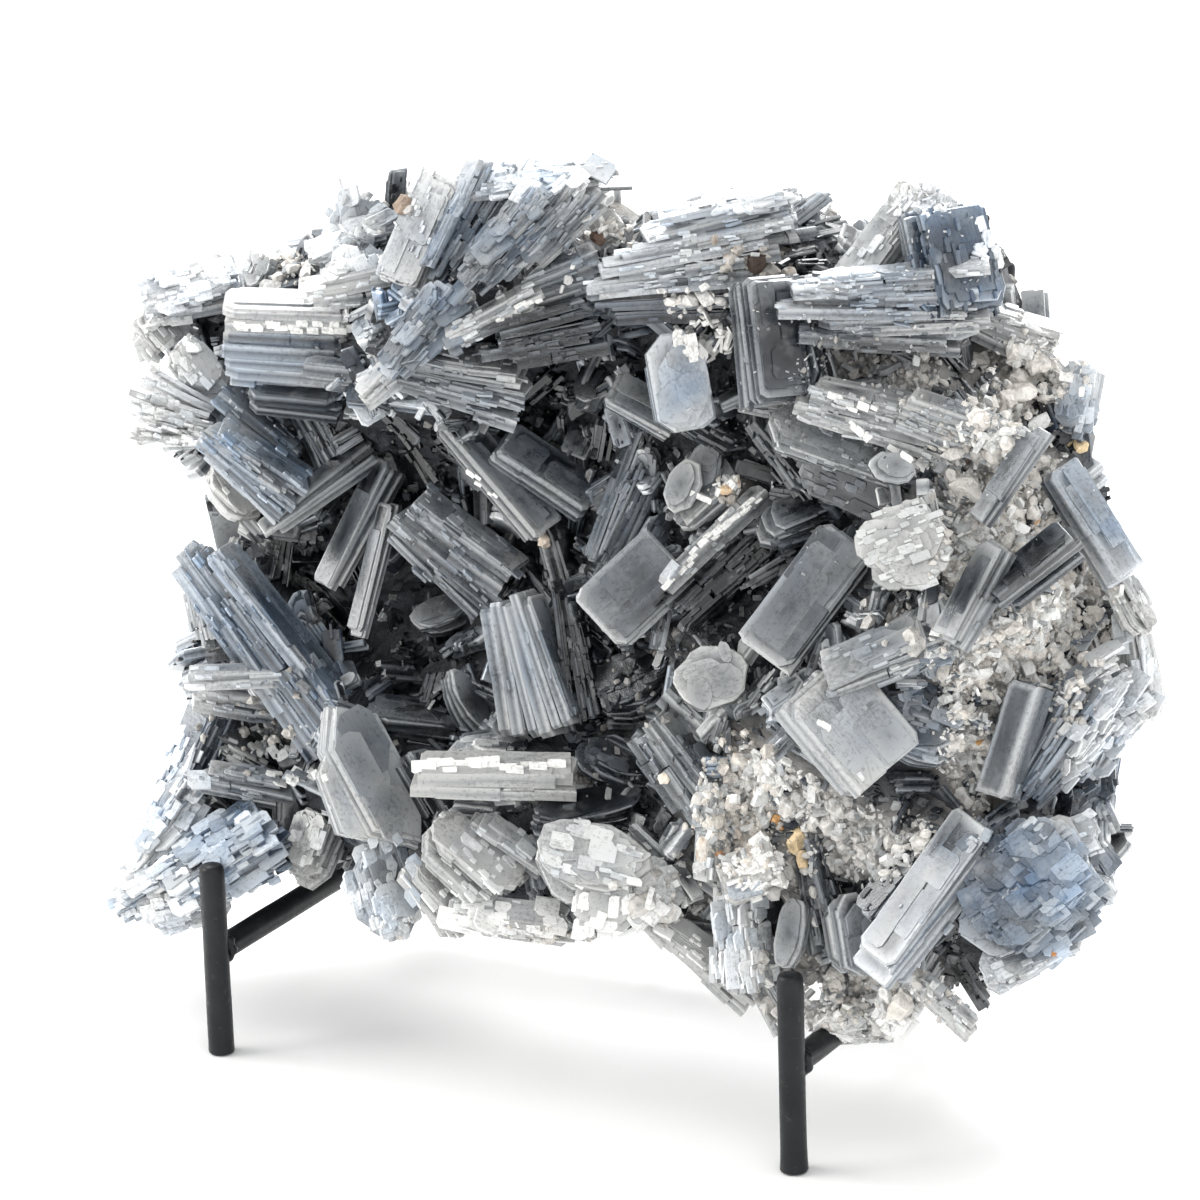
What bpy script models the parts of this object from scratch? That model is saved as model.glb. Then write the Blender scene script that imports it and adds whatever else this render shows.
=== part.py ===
"""Barite crystal cluster resting on a three-legged welded iron easel.

Units are metres, +Z is up. The origin lies on the surface that the easel stands on, midway between the two
front posts; -Y is the front of the easel and +X its right-hand side. The specimen stands behind the front
posts, on the two arms, and leans back on the two uprights. The last step of main() moves everything so that
the origin lies under the middle of the whole.

Each book of crystals is set out by where it shows in the reference picture, a square 1200 units on a side seen
from EYE: at() turns a place in that picture and a distance behind the front posts into a point. The sizes of a
book are in the same units, of UNIT metres each.
"""

import math

import bmesh
import bpy
from mathutils import Matrix, Vector

# ---------------------------------------------------------------- sizes of the easel
ROD_R = 0.0025            # 5 mm round iron rod
POST_X = 0.0635           # half the distance between the two front posts
POST_H = 0.0393           # height of a front post
ARM_Z = 0.0212            # height of the arms' centre line
ARM_END_Y = 0.0750        # where the uprights rise from the arms
TIP_Y, TIP_Z = 0.0900, 0.1513   # top of each upright
BAR_LOW_Z = 0.0212
BAR_HIGH_Z = 0.1370
FOOT_Y = 0.1480           # foot of the rear strut
GAP = 0.0003              # clearance between neighbouring pieces
ROD_SIDES = 12

# ---------------------------------------------------------------- reference view
EYE = Vector((0.5274, -0.8489, 0.4391))
AZIMUTH, ELEVATION, ROLL = (math.radians(a) for a in (30.58, 18.66, 1.855))
FOCAL = 5710.0
UNIT = 0.00019

BACK = Vector((math.sin(AZIMUTH) * math.cos(ELEVATION), -math.cos(AZIMUTH) * math.cos(ELEVATION), math.sin(ELEVATION)))
_right = (-BACK).cross(Vector((0, 0, 1))).normalized()
_up = _right.cross(-BACK)
RIGHT = math.cos(ROLL) * _right - math.sin(ROLL) * _up
UP = math.sin(ROLL) * _right + math.cos(ROLL) * _up


def at(u, v, y):
    """The point y mm behind the front posts that shows at (u, v) in the reference picture."""
    d = -BACK + RIGHT * ((u - 600) / FOCAL) + UP * ((600 - v) / FOCAL)
    return EYE + d * ((y / 1000 - EYE.y) / d.y)


# ---------------------------------------------------------------- books of crystals
# name, u, v, y, length, width, stack, crystals, direction of the long axis in the picture (degrees, from the
# right towards the top), lean of the long axis towards the viewer, turn about the long axis (0 shows the broad
# face, 90 the edges), splay of the book, where the splay starts along the length (-0.5 tail, 0 waist), outline
BOOKS = [
    # upper left corner
    ("tl_slab", 190, 290, 46, 108, 62, 40, 4, 14, 0, 40, 10, 0, "B"),
    ("tl_nub", 258, 272, 50, 34, 34, 20, 2, 70, 0, 30, 6, 0, "H"),
    ("tl_fan_low", 352, 284, 32, 92, 58, 40, 4, 8, 0, 55, 12, 0, "H"),
    ("tl_fan_up", 350, 240, 40, 84, 50, 44, 7, 20, 0, 62, 24, .4, "H"),
    ("tl_fan_tip", 352, 214, 46, 56, 26, 34, 5, 55, 0, 70, 30, -.3, "H"),
    ("block_top", 287, 318, 30, 128, 60, 40, 3, -3, 0, 62, 3, 0, "B"),
    ("block_face", 285, 352, 30, 124, 70, 62, 5, -4, 0, 66, 4, 0, "B"),
    ("block_low", 300, 384, 32, 100, 60, 40, 3, -6, 0, 35, 5, 0, "B"),
    ("block_dark", 318, 420, 40, 90, 50, 40, 4, -62, 0, 50, 12, 0, "H"),
    ("block_bar", 335, 372, 26, 62, 24, 24, 2, -6, 0, 50, 3, 0, "B"),
    # left bow
    ("bow_tips", 172, 414, 28, 88, 44, 60, 6, 165, 10, 75, 38, -.5, "B"),
    ("bow_body", 248, 462, 28, 118, 60, 50, 5, -38, 0, 62, 12, .2, "B"),
    ("bow_low", 178, 440, 30, 60, 20, 16, 1, 3, 0, 60, 0, 0, "B"),
    ("left_knob", 157, 331, 42, 44, 36, 30, 2, -50, 0, 30, 8, 0, "B"),
    ("left_pale", 196, 368, 36, 70, 50, 30, 3, -50, 0, 35, 10, 0, "H"),
    ("left_round", 236, 490, 40, 80, 52, 46, 3, -48, 0, 20, 8, 0, "R"),
    ("left_dark", 262, 432, 38, 104, 44, 34, 3, -40, 0, 60, 8, 0, "B"),
    # crown
    ("crown_slab", 425, 226, 28, 124, 58, 30, 3, 66, 0, 30, 6, 0, "B"),
    ("crown_a", 470, 222, 28, 120, 50, 50, 6, 58, 0, 68, 18, -.3, "H"),
    ("crown_top", 546, 178, 36, 136, 46, 30, 5, 7, 0, 55, 10, 0, "H"),
    ("crown_b", 510, 240, 22, 130, 46, 50, 6, 46, 0, 66, 14, -.3, "H"),
    ("crown_c", 552, 230, 28, 110, 50, 44, 5, 48, 0, 66, 12, 0, "H"),
    ("crown_right", 564, 282, 28, 90, 48, 48, 4, 18, 0, 62, 10, 0, "B"),
    ("crown_edge", 490, 318, 16, 122, 30, 22, 3, 25, 0, 64, 6, 0, "B"),
    ("crown_low", 544, 337, 20, 112, 46, 52, 5, 12, 0, 78, 8, 0, "B"),
    ("crown_under", 462, 380, 16, 130, 56, 54, 5, -14, 0, 55, 14, -.3, "H"),
    ("crown_waist", 424, 330, 12, 110, 50, 44, 6, 50, 0, 60, 20, 0, "H"),
    ("crown_tip", 388, 376, 10, 70, 34, 34, 3, 40, 0, 60, 14, .4, "B"),
    ("crown_nub", 605, 228, 38, 34, 30, 20, 2, 30, 0, 30, 5, 0, "B"),
    # ridge
    ("ridge_low", 668, 296, 26, 160, 50, 56, 6, 5, 0, 80, 10, 0, "B"),
    ("ridge_mid", 690, 262, 28, 196, 50, 50, 5, 8, 0, 74, 8, 0, "B"),
    ("ridge_up", 728, 218, 36, 164, 50, 50, 6, 11, 0, 62, 10, 0, "H"),
    ("ridge_top", 712, 198, 38, 92, 30, 14, 2, 8, 0, 60, 4, 0, "B"),
    ("column", 770, 338, 22, 128, 58, 50, 4, -83, 0, 25, 8, 0, "B"),
    ("column_side", 800, 350, 26, 110, 50, 50, 5, -78, 0, -40, 12, 0, "H"),
    ("blue_plate", 678, 381, 22, 102, 62, 24, 2, -80, 0, 12, 2, 0, "H"),
    ("blue_stem", 674, 388, 32, 70, 40, 110, 1, -80, 0, 12, 0, 0, "B"),
    ("plate_behind", 643, 403, 32, 84, 46, 16, 2, -30, 0, 25, 3, 0, "B"),
    # cave
    ("cave_a", 598, 386, 40, 60, 44, 30, 3, 60, 0, 35, 10, 0, "H"),
    ("cave_b", 588, 432, 44, 56, 40, 24, 2, 65, 0, 25, 6, 0, "B"),
    ("cave_c", 540, 395, 50, 80, 34, 24, 3, 75, 0, 60, 14, 0, "H"),
    ("cave_d", 716, 428, 36, 70, 40, 30, 3, -30, 0, 40, 12, 0, "H"),
    ("diag_long", 495, 472, 36, 156, 42, 22, 2, -50, 0, 32, 4, 0, "B"),
    ("diag_two", 550, 472, 40, 116, 54, 26, 2, -34, 0, 35, 5, 0, "B"),
    ("diag_lam", 552, 512, 46, 130, 40, 44, 5, -42, 0, 70, 8, 0, "B"),
    ("diag_end", 562, 558, 42, 96, 38, 26, 3, -76, 0, 40, 6, 0, "B"),
    ("mid_book", 456, 552, 38, 132, 50, 80, 5, -40, 0, 48, 12, 0, "H"),
    ("mid_vert", 530, 668, 26, 150, 46, 78, 6, -76, 0, 62, 16, 0, "B"),
    ("mid_vert_dark", 580, 655, 30, 130, 40, 30, 4, -80, 0, 70, 10, 0, "B"),
    ("mid_pair", 466, 704, 32, 82, 32, 30, 3, -62, 0, 40, 12, 0, "R"),
    ("mid_lump", 444, 614, 42, 66, 40, 30, 3, 20, 0, 30, 14, 0, "R"),
    ("bar_a", 320, 487, 34, 138, 30, 26, 3, 36, 0, 55, 5, 0, "B"),
    ("bar_b", 358, 524, 36, 150, 32, 24, 3, 62, 0, 48, 6, 0, "B"),
    ("bar_c", 374, 566, 34, 148, 22, 18, 2, 76, 0, 40, 4, 0, "B"),
    ("bar_d", 420, 455, 46, 80, 24, 24, 3, -55, 0, 60, 10, 0, "H"),
    ("bar_e", 345, 480, 44, 90, 26, 26, 3, 50, 0, 60, 10, 0, "H"),
    ("cave_left", 330, 570, 48, 110, 40, 40, 4, -35, 0, 50, 20, 0, "H"),
    # centre
    ("vee_left", 632, 500, 34, 150, 40, 44, 6, 66, 0, 70, 10, -.2, "H"),
    ("vee_plate", 634, 590, 22, 104, 80, 14, 2, 43, 0, 12, 2, 0, "B"),
    ("vee_strip", 712, 540, 27, 138, 30, 22, 1, 43, 0, 50, 0, 0, "B"),
    ("vee_book", 722, 570, 30, 130, 50, 56, 5, 43, 0, -68, 8, 0, "B"),
    ("vee_chip", 700, 505, 30, 70, 40, 26, 3, 40, 0, 45, 10, 0, "H"),
    ("oval_a", 684, 484, 28, 62, 36, 14, 1, 68, 0, 15, 0, 0, "R"),
    ("oval_b", 702, 474, 32, 66, 38, 14, 1, 78, 0, 20, 0, 0, "R"),
    ("dark_mid", 636, 684, 32, 90, 70, 44, 4, 30, 0, 40, 16, 0, "R"),
    ("dark_low", 625, 765, 30, 100, 60, 40, 4, -20, 0, 40, 16, 0, "R"),
    ("octagon", 709, 682, 16, 80, 70, 20, 1, 20, 0, 12, 0, 0, "R"),
    ("book_right", 674, 760, 18, 96, 40, 56, 4, -55, 0, 50, 8, 0, "B"),
    # right middle
    ("arch_a", 800, 402, 28, 110, 40, 30, 3, -10, 0, 62, 4, 0, "B"),
    ("arch_b", 890, 420, 26, 170, 40, 44, 4, -14, 0, 60, 6, 0, "B"),
    ("arch_c", 965, 430, 30, 130, 40, 40, 4, -20, 0, 66, 8, 0, "B"),
    ("arch_face", 842, 440, 28, 150, 70, 20, 2, -20, 0, 20, 3, 0, "H"),
    ("arch_low", 795, 455, 32, 110, 50, 40, 4, -52, 0, 40, 12, 0, "H"),
    ("arch_low2", 850, 480, 30, 130, 50, 50, 4, -22, 0, -20, 14, 0, "H"),
    ("arch_under", 820, 510, 36, 120, 50, 40, 4, 20, 0, 40, 16, 0, "H"),
    ("lozenge", 892, 468, 22, 46, 32, 12, 1, -12, 0, 10, 0, 0, "R"),
    # upper right
    ("ur_bands", 888, 300, 32, 186, 50, 70, 6, 2, 0, 66, 10, 0, "H"),
    ("ur_bands2", 892, 334, 32, 166, 46, 34, 3, -2, 0, 62, 6, 0, "H"),
    ("ur_left", 815, 300, 32, 86, 50, 50, 4, 10, 0, 60, 12, 0, "H"),
    ("peak_slab", 888, 240, 42, 114, 56, 30, 3, 52, 0, 30, 6, 0, "B"),
    ("peak_blue", 948, 268, 46, 92, 84, 36, 3, -60, 0, 25, 8, 0, "R"),
    ("peak_top", 928, 215, 48, 60, 50, 30, 3, 75, 0, 35, 12, 0, "R"),
    ("edge_fan", 1018, 334, 57, 80, 36, 44, 4, -22, 0, 60, 14, 0, "H"),
    ("edge_pale", 1079, 398, 58, 80, 40, 36, 2, 80, 0, 30, 5, 0, "H"),
    ("long_blue", 1091, 524, 48, 132, 44, 28, 2, -58, 0, 32, 3, 0, "B"),
    ("edge_mid", 1122, 592, 52, 86, 40, 30, 4, -62, 0, 60, 12, 0, "H"),
    ("edge_low", 1134, 660, 54, 106, 44, 36, 5, -84, 0, 60, 14, 0, "H"),
    ("edge_low2", 1106, 722, 46, 106, 50, 44, 6, 60, 0, 66, 16, 0, "H"),
    ("m_bar_a", 1010, 470, 36, 100, 34, 14, 1, 52, 0, 50, 0, 0, "B"),
    ("m_dark_b", 978, 596, 24, 100, 40, 30, 3, 58, 0, 55, 8, 0, "B"),
    ("m_dark_c", 1036, 572, 32, 84, 40, 30, 3, 38, 0, 50, 8, 0, "B"),
    ("rosette", 906, 550, 17, 84, 80, 34, 2, 20, 0, 8, 4, 0, "R"),
    ("rosette_stem", 906, 552, 26, 60, 54, 96, 1, 20, 0, 8, 0, 0, "B"),
    ("slab_long", 806, 600, 22, 152, 70, 22, 2, 53, 0, 20, 3, 0, "B"),
    ("slab_side", 772, 612, 26, 116, 30, 16, 1, 56, 0, 55, 0, 0, "B"),
    ("rhomb", 848, 728, 8, 112, 98, 40, 3, -50, 0, 26, 2, 0, "B"),
    ("rhomb_top", 880, 652, 14, 126, 64, 34, 4, 22, 0, 45, 10, 0, "H"),
    ("eye", 922, 738, 18, 76, 60, 34, 4, -15, 0, 35, 12, 0, "R"),
    ("bar_blue", 1013, 744, 27, 122, 34, 40, 1, 72, 0, 28, 0, 0, "B"),
    ("fan_dark_a", 1062, 745, 36, 140, 50, 60, 7, 52, 0, 68, 20, -.2, "H"),
    ("fan_dark_b", 1080, 700, 42, 106, 50, 50, 6, 30, 0, 66, 18, -.3, "H"),
    # lower right
    ("lr_slab", 930, 898, 8, 170, 60, 34, 4, 52, 0, 42, 5, 0, "B"),
    ("lr_slab_b", 902, 882, 12, 106, 40, 30, 3, 50, 0, 50, 6, 0, "H"),
    ("lr_core", 1028, 893, 12, 146, 116, 60, 6, 40, 0, 30, 24, 0, "R"),
    ("lr_rim", 1042, 848, 18, 120, 50, 30, 3, 20, 0, 45, 12, 0, "H"),
    ("lr_face", 1030, 948, 10, 104, 56, 30, 3, 28, 0, 25, 8, 0, "H"),
    ("lr_tail", 945, 1006, 10, 74, 30, 24, 3, -42, 0, 50, 6, 0, "B"),
    ("lr_tail_b", 905, 983, 14, 86, 50, 30, 3, 60, 0, 45, 10, 0, "H"),
    ("bottom_rim", 852, 1020, 18, 100, 34, 34, 2, 5, 0, 40, 8, 0, "H"),
    ("bottom_clear", 851, 935, 12, 84, 42, 34, 2, -80, 0, 25, 4, 0, "H"),
    ("bottom_dark", 822, 890, 16, 110, 50, 40, 5, -78, 0, 60, 10, 0, "H"),
    ("bottom_left", 742, 930, 12, 116, 54, 50, 5, -84, 0, 50, 14, 0, "H"),
    ("bottom_left_b", 768, 980, 14, 100, 50, 36, 4, -62, 0, 45, 12, 0, "H"),
    ("bottom_leaf", 791, 932, 9, 76, 34, 14, 1, 80, 0, 30, 0, 0, "R"),
    ("white_lump", 755, 872, 8, 62, 56, 30, 3, 20, 0, 25, 12, 0, "B"),
    ("mid_edge", 712, 836, 14, 106, 36, 30, 3, 86, 0, 50, 8, 0, "H"),
    ("link_a", 690, 946, 14, 104, 40, 30, 3, -38, 0, 40, 10, 0, "H"),
    ("link_b", 724, 980, 16, 80, 30, 24, 3, -42, 0, 45, 8, 0, "H"),
    # bottom middle
    ("bright_bar", 501, 776, 12, 168, 44, 30, 2, -1, 0, 56, 2, 0, "B"),
    ("dark_shelf", 590, 818, 20, 130, 50, 50, 5, 5, 0, 50, 12, 0, "R"),
    ("shells", 596, 862, 9, 124, 88, 60, 4, -12, 0, 18, 8, 0, "R"),
    ("shell_square", 606, 895, 7, 66, 62, 34, 2, 85, 0, 10, 3, 0, "B"),
    ("shell_lobe", 648, 893, 12, 60, 58, 36, 2, -40, 0, 15, 4, 0, "R"),
    ("chev_a", 470, 860, 8, 110, 60, 50, 5, -42, 0, 40, 12, 0, "H"),
    ("chev_b", 442, 893, 8, 86, 50, 40, 4, -50, 0, 38, 10, 0, "H"),
    ("chev_c", 510, 850, 12, 90, 40, 30, 3, -38, 0, 45, 8, 0, "B"),
    ("chev_low", 515, 918, 8, 124, 40, 30, 4, -8, 0, 35, 10, 0, "H"),
    # lower left
    ("long_book", 268, 645, 24, 258, 60, 66, 5, -53, 0, 58, 6, 0, "B"),
    ("left_blades", 208, 600, 34, 96, 46, 44, 5, -75, 0, 55, 18, 0, "H"),
    ("left_hbar", 238, 676, 18, 108, 30, 20, 2, 2, 0, 55, 3, 0, "B"),
    ("left_hbar_b", 232, 700, 28, 84, 34, 26, 2, -12, 0, 55, 3, 0, "B"),
    ("left_steep", 194, 765, 24, 128, 50, 40, 4, 66, 0, 45, 10, 0, "B"),
    ("see_through", 265, 758, 34, 120, 60, 50, 5, -32, 0, 50, 14, 0, "B"),
    ("chevron", 241, 782, 20, 96, 40, 26, 3, -12, 0, 50, 6, 0, "H"),
    ("lobe_a", 164, 878, 12, 108, 66, 46, 5, 28, 0, 45, 12, 0, "H"),
    ("lobe_b", 222, 860, 14, 136, 80, 60, 6, 32, 0, 50, 14, 0, "H"),
    ("lobe_c", 184, 902, 10, 100, 50, 30, 3, 12, 0, 30, 10, 0, "H"),
    ("lobe_d", 168, 822, 16, 100, 50, 40, 4, 55, 0, 50, 12, 0, "H"),
    ("lobe_right", 314, 848, 22, 76, 56, 40, 3, 70, 0, 35, 10, 0, "H"),
    ("kite", 372, 778, 12, 172, 76, 30, 3, -62, 0, 34, 4, 0, "D"),
    ("kite_front", 352, 792, 8, 120, 60, 20, 2, -70, 0, 20, 3, 0, "D"),
    ("kite_low", 384, 890, 10, 100, 70, 46, 5, -72, 0, 40, 14, 0, "H"),
    ("kite_dark", 434, 802, 18, 104, 50, 36, 3, -60, 0, 50, 6, 0, "B"),
    ("shelf", 430, 727, 34, 150, 60, 40, 4, -8, 0, 60, 6, 0, "H"),
]

# crystals on the flanks, the top and the back, which the picture doesn't show
# name, u, v, y, azimuth and elevation that the book faces, then as in BOOKS but with sizes in mm
ROUND_BOOKS = [
    ("back_a", 222, 345, 66, 180, 10, 26, 12, 12, 3, 25, 10, 60, 10, 0, "H"),
    ("back_b", 432, 262, 74, 180, 30, 26, 14, 12, 3, 60, 10, 55, 10, 0, "H"),
    ("back_c", 598, 300, 80, 180, 30, 28, 12, 12, 3, -30, 10, 60, 8, 0, "B"),
    ("back_d", 735, 292, 82, 180, 30, 28, 14, 12, 3, 50, 10, 60, 8, 0, "H"),
    ("back_e", 905, 322, 82, 170, 20, 26, 14, 14, 3, -60, 5, 50, 10, 0, "H"),
    ("back_f", 985, 430, 80, 150, 10, 30, 14, 14, 3, 75, 5, 55, 8, 0, "B"),
    ("back_g", 1030, 610, 72, 140, 0, 30, 14, 14, 3, 30, 5, 55, 10, 0, "H"),
    ("back_h", 290, 490, 66, 200, 0, 28, 12, 12, 3, -60, 5, 50, 10, 0, "H"),
    ("back_i", 290, 640, 62, 210, 0, 26, 12, 12, 3, 40, 5, 55, 10, 0, "H"),
    ("back_j", 880, 520, 82, 180, 0, 34, 14, 10, 3, 20, 5, 50, 10, 0, "H"),
    ("back_k", 480, 425, 80, 180, 0, 38, 16, 10, 2, 35, 5, 35, 4, 0, "H"),
    ("back_l", 660, 480, 82, 180, 0, 36, 16, 12, 3, -50, 5, 50, 8, 0, "H"),
    ("back_m", 560, 610, 78, 180, 0, 40, 16, 12, 3, 10, 5, 60, 8, 0, "B"),
    ("back_n", 790, 690, 76, 180, 0, 34, 14, 12, 3, 65, 5, 55, 8, 0, "H"),
    ("back_o", 410, 700, 74, 180, -10, 34, 14, 12, 3, -35, 5, 50, 8, 0, "H"),
    ("side_r_a", 1035, 455, 70, 95, 10, 26, 12, 12, 3, 70, 5, 60, 10, 0, "H"),
    ("side_r_b", 1082, 612, 64, 95, 0, 26, 12, 12, 3, 20, 5, 60, 10, 0, "H"),
    ("side_r_c", 1062, 715, 52, 95, -10, 26, 12, 12, 3, -40, 5, 60, 8, 0, "B"),
    ("side_l_a", 190, 338, 56, -95, 10, 24, 12, 12, 3, 60, 5, 60, 10, 0, "H"),
    ("side_l_b", 222, 420, 56, -100, 0, 28, 12, 12, 3, -30, 5, 60, 10, 0, "H"),
    ("side_l_c", 248, 540, 56, -95, 0, 28, 14, 12, 3, 80, 5, 55, 8, 0, "B"),
    ("side_l_d", 226, 668, 50, -95, 0, 28, 12, 12, 3, 20, 5, 60, 10, 0, "H"),
    ("top_a", 340, 262, 60, -20, 60, 26, 12, 10, 3, 15, 5, 60, 8, 0, "H"),
    ("top_b", 520, 215, 62, 0, 60, 30, 14, 10, 3, -25, 5, 55, 10, 0, "H"),
    ("top_c", 690, 240, 66, 20, 60, 30, 12, 10, 3, 20, 5, 60, 8, 0, "B"),
    ("top_d", 850, 268, 70, 40, 60, 26, 12, 10, 3, 0, 5, 60, 10, 0, "H"),
]

# rim of the body that the crystals grew on: places in the picture with their distance behind the posts
RIM = [
    (175, 300, 56), (250, 285, 58), (330, 240, 56), (400, 205, 54), (470, 195, 54), (560, 195, 56), (600, 245, 56),
    (680, 225, 56), (780, 215, 58), (850, 260, 58), (905, 225, 60), (965, 240, 62), (1010, 320, 60), (1070, 390, 62),
    (1100, 480, 66), (1135, 590, 66), (1130, 690, 62), (1095, 770, 54), (1075, 860, 40), (1040, 940, 34),
    (950, 985, 24), (860, 1015, 20), (790, 975, 20), (690, 930, 20), (560, 912, 18), (430, 915, 20), (350, 870, 32),
    (270, 860, 30), (170, 880, 30), (160, 810, 34), (215, 730, 40), (215, 620, 42), (245, 520, 44), (200, 440, 44),
    (190, 370, 52),
]
BODY_BACK = 0.0712        # how far behind the posts the body's back reaches at the arms
BODY_LEAN = 0.1131        # how much further back for each metre of height, as the uprights lean
BODY_ROUGH = 0.0045       # depth of the hollows in its broken back
RIM_RINGS = (0.30, 0.62, 0.88)


def clear_scene():
    for o in list(bpy.data.objects):
        bpy.data.objects.remove(o)


def material(name, colour, rough, metal=0.0):
    m = bpy.data.materials.new(name)
    m.use_nodes = True
    p = m.node_tree.nodes["Principled BSDF"]
    p.inputs["Base Color"].default_value = (*colour, 1)
    p.inputs["Roughness"].default_value = rough
    p.inputs["Metallic"].default_value = metal
    return m


def collection(name):
    c = bpy.data.collections.new(name)
    bpy.context.scene.collection.children.link(c)
    return c


def add(name, mesh, coll, mat=None):
    o = bpy.data.objects.new(name, mesh)
    coll.objects.link(o)
    if mat:
        mesh.materials.append(mat)
    return o


def rod_mesh(name, a, b, radius, sides=ROD_SIDES, chamfer=0.0):
    """A straight round rod from a to b, with a small chamfer round both ends."""
    bm = bmesh.new()
    axis = b - a
    bmesh.ops.create_cone(bm, cap_ends=True, segments=sides, radius1=radius, radius2=radius, depth=axis.length)
    if chamfer:
        rims = [e for e in bm.edges if abs(e.verts[0].co.z - e.verts[1].co.z) < 1e-9]
        bmesh.ops.bevel(bm, geom=rims, offset=chamfer, segments=1, affect="EDGES")
    turn = axis.to_track_quat("Z", "Y").to_matrix().to_4x4()
    bm.transform(Matrix.Translation((a + b) / 2) @ turn)
    mesh = bpy.data.meshes.new(name)
    bm.to_mesh(mesh)
    bm.free()
    mesh.shade_smooth()
    mesh.set_sharp_from_angle(angle=math.radians(40))
    return mesh


# ---------------------------------------------------------------- crystals
def outline(kind):
    """The outline of one tabular crystal in a unit box: length along x, width along y."""
    if kind == "B":
        return [(-.5, -.5), (.5, -.5), (.5, .5), (-.5, .5)]
    if kind == "D":
        return [(-.5, -.1), (-.28, -.5), (.30, -.5), (.5, .12), (.26, .5), (-.34, .5)]
    if kind == "R":
        return [(.5 * math.cos(math.radians(a)), .5 * math.sin(math.radians(a))) for a in (10, 65, 110, 165, 215, 265, 315)]
    return [(-.5, -.12), (-.36, -.5), (.36, -.5), (.5, .12), (.36, .5), (-.36, .5)]


def crystal(bm, kind, place, length, width, thick):
    """Adds one tabular crystal as a prism on its outline. place is its 4x4 frame: x length, y width, z normal."""
    shape = outline(kind)
    made = bmesh.ops.create_cone(bm, cap_ends=True, segments=len(shape), radius1=.5, radius2=.5, depth=thick)["verts"]
    lower = sorted((v for v in made if v.co.z < 0), key=lambda v: math.atan2(v.co.y, v.co.x) % (2 * math.pi))
    upper = sorted((v for v in made if v.co.z > 0), key=lambda v: math.atan2(v.co.y, v.co.x) % (2 * math.pi))
    order = sorted(shape, key=lambda p: math.atan2(p[1], p[0]) % (2 * math.pi))
    for ring in (lower, upper):
        for v, (x, y) in zip(ring, order):
            v.co = place @ Vector((x * length, y * width, v.co.z))


def book_axes(right, up, front, direction, lean, turn):
    """Axes (length, width, normal) of a book seen along -front, with right and up as its picture's axes."""
    d, l, t = (math.radians(k) for k in (direction, lean, turn))
    flat = math.cos(d) * right + math.sin(d) * up
    side = -math.sin(d) * right + math.cos(d) * up
    along = math.cos(l) * flat + math.sin(l) * front
    toward = math.cos(l) * front - math.sin(l) * flat
    normal = math.cos(t) * toward + math.sin(t) * side
    return along, normal.cross(along), normal


def facing(azimuth, elevation):
    """Right, up and front of a view from this side of the specimen."""
    a, e = math.radians(azimuth), math.radians(elevation)
    front = Vector((math.sin(a) * math.cos(e), -math.cos(a) * math.cos(e), math.sin(e)))
    right = Vector((0, 0, 1)).cross(front).normalized()
    return right, front.cross(right), front


def all_books():
    """Every book with its centre, axes and sizes in metres."""
    for name, u, v, y, length, width, stack, count, direction, lean, turn, splay, start, kind in BOOKS:
        axes = book_axes(RIGHT, UP, BACK, direction, lean, turn)
        yield name, at(u, v, y), axes, length * UNIT, width * UNIT, stack * UNIT, count, splay, start, kind
    for name, u, v, y, az, el, length, width, stack, count, direction, lean, turn, splay, start, kind in ROUND_BOOKS:
        axes = book_axes(*facing(az, el), direction, lean, turn)
        yield name, at(u, v, y), axes, length / 1000, width / 1000, stack / 1000, count, splay, start, kind


def frame_matrix(origin, x, y, z):
    m = Matrix((x, y, z)).transposed().to_4x4()
    m.translation = origin
    return m


def add_books(coll, mat=None):
    """One object for each crystal of each book. Neighbours differ a little in size and place, as grown."""
    made = []
    for b, (name, origin, axes, length, width, stack, count, splay, start, kind) in enumerate(all_books()):
        shown = 1 if splay < 11 or count < 3 else (2 if splay < 22 else 3)
        thick = stack / shown
        pivot = Vector((start * length, 0, 0))
        base = frame_matrix(origin, *axes)
        for i in range(shown):
            k = i - (shown - 1) / 2
            wave = math.sin(1.7 * b + 2.3 * i)
            turnby = Matrix.Rotation(-math.radians(splay) * k / max(1, shown), 4, "Y")
            twist = Matrix.Rotation(math.radians(2.1 * wave), 4, "Z")
            shift = Matrix.Translation((.03 * length * (k + .4 * wave), .05 * width * (k - .5 * wave), k * thick * .9))
            place = base @ Matrix.Translation(pivot) @ shift @ turnby @ twist @ Matrix.Translation(-pivot)
            bm = bmesh.new()
            crystal(bm, kind, place, length * (1 - .05 * abs(k) + .02 * wave),
                    width * (1 - .08 * abs(k) - .03 * wave), thick * 1.12)
            bmesh.ops.recalc_face_normals(bm, faces=bm.faces)
            mesh = bpy.data.meshes.new(name)
            bm.to_mesh(mesh)
            bm.free()
            o = add("%s_%d" % (name, i + 1), mesh, coll, mat)
            o.hide_render = True
            o.display_type = "WIRE"
            made.append(o)
    return made


def front_depth(u, v):
    """Distance behind the posts, in mm, of the body's front at a place in the picture: just behind the books."""
    total = weight = 0.0
    for b in BOOKS:
        d2 = ((b[1] - u) ** 2 + (b[2] - v) ** 2) / 55.0 ** 2
        w = math.exp(-d2)
        total += w * (b[3] + 5.0)
        weight += w
    return (total + 1e-4 * 45) / (weight + 1e-4)


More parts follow.
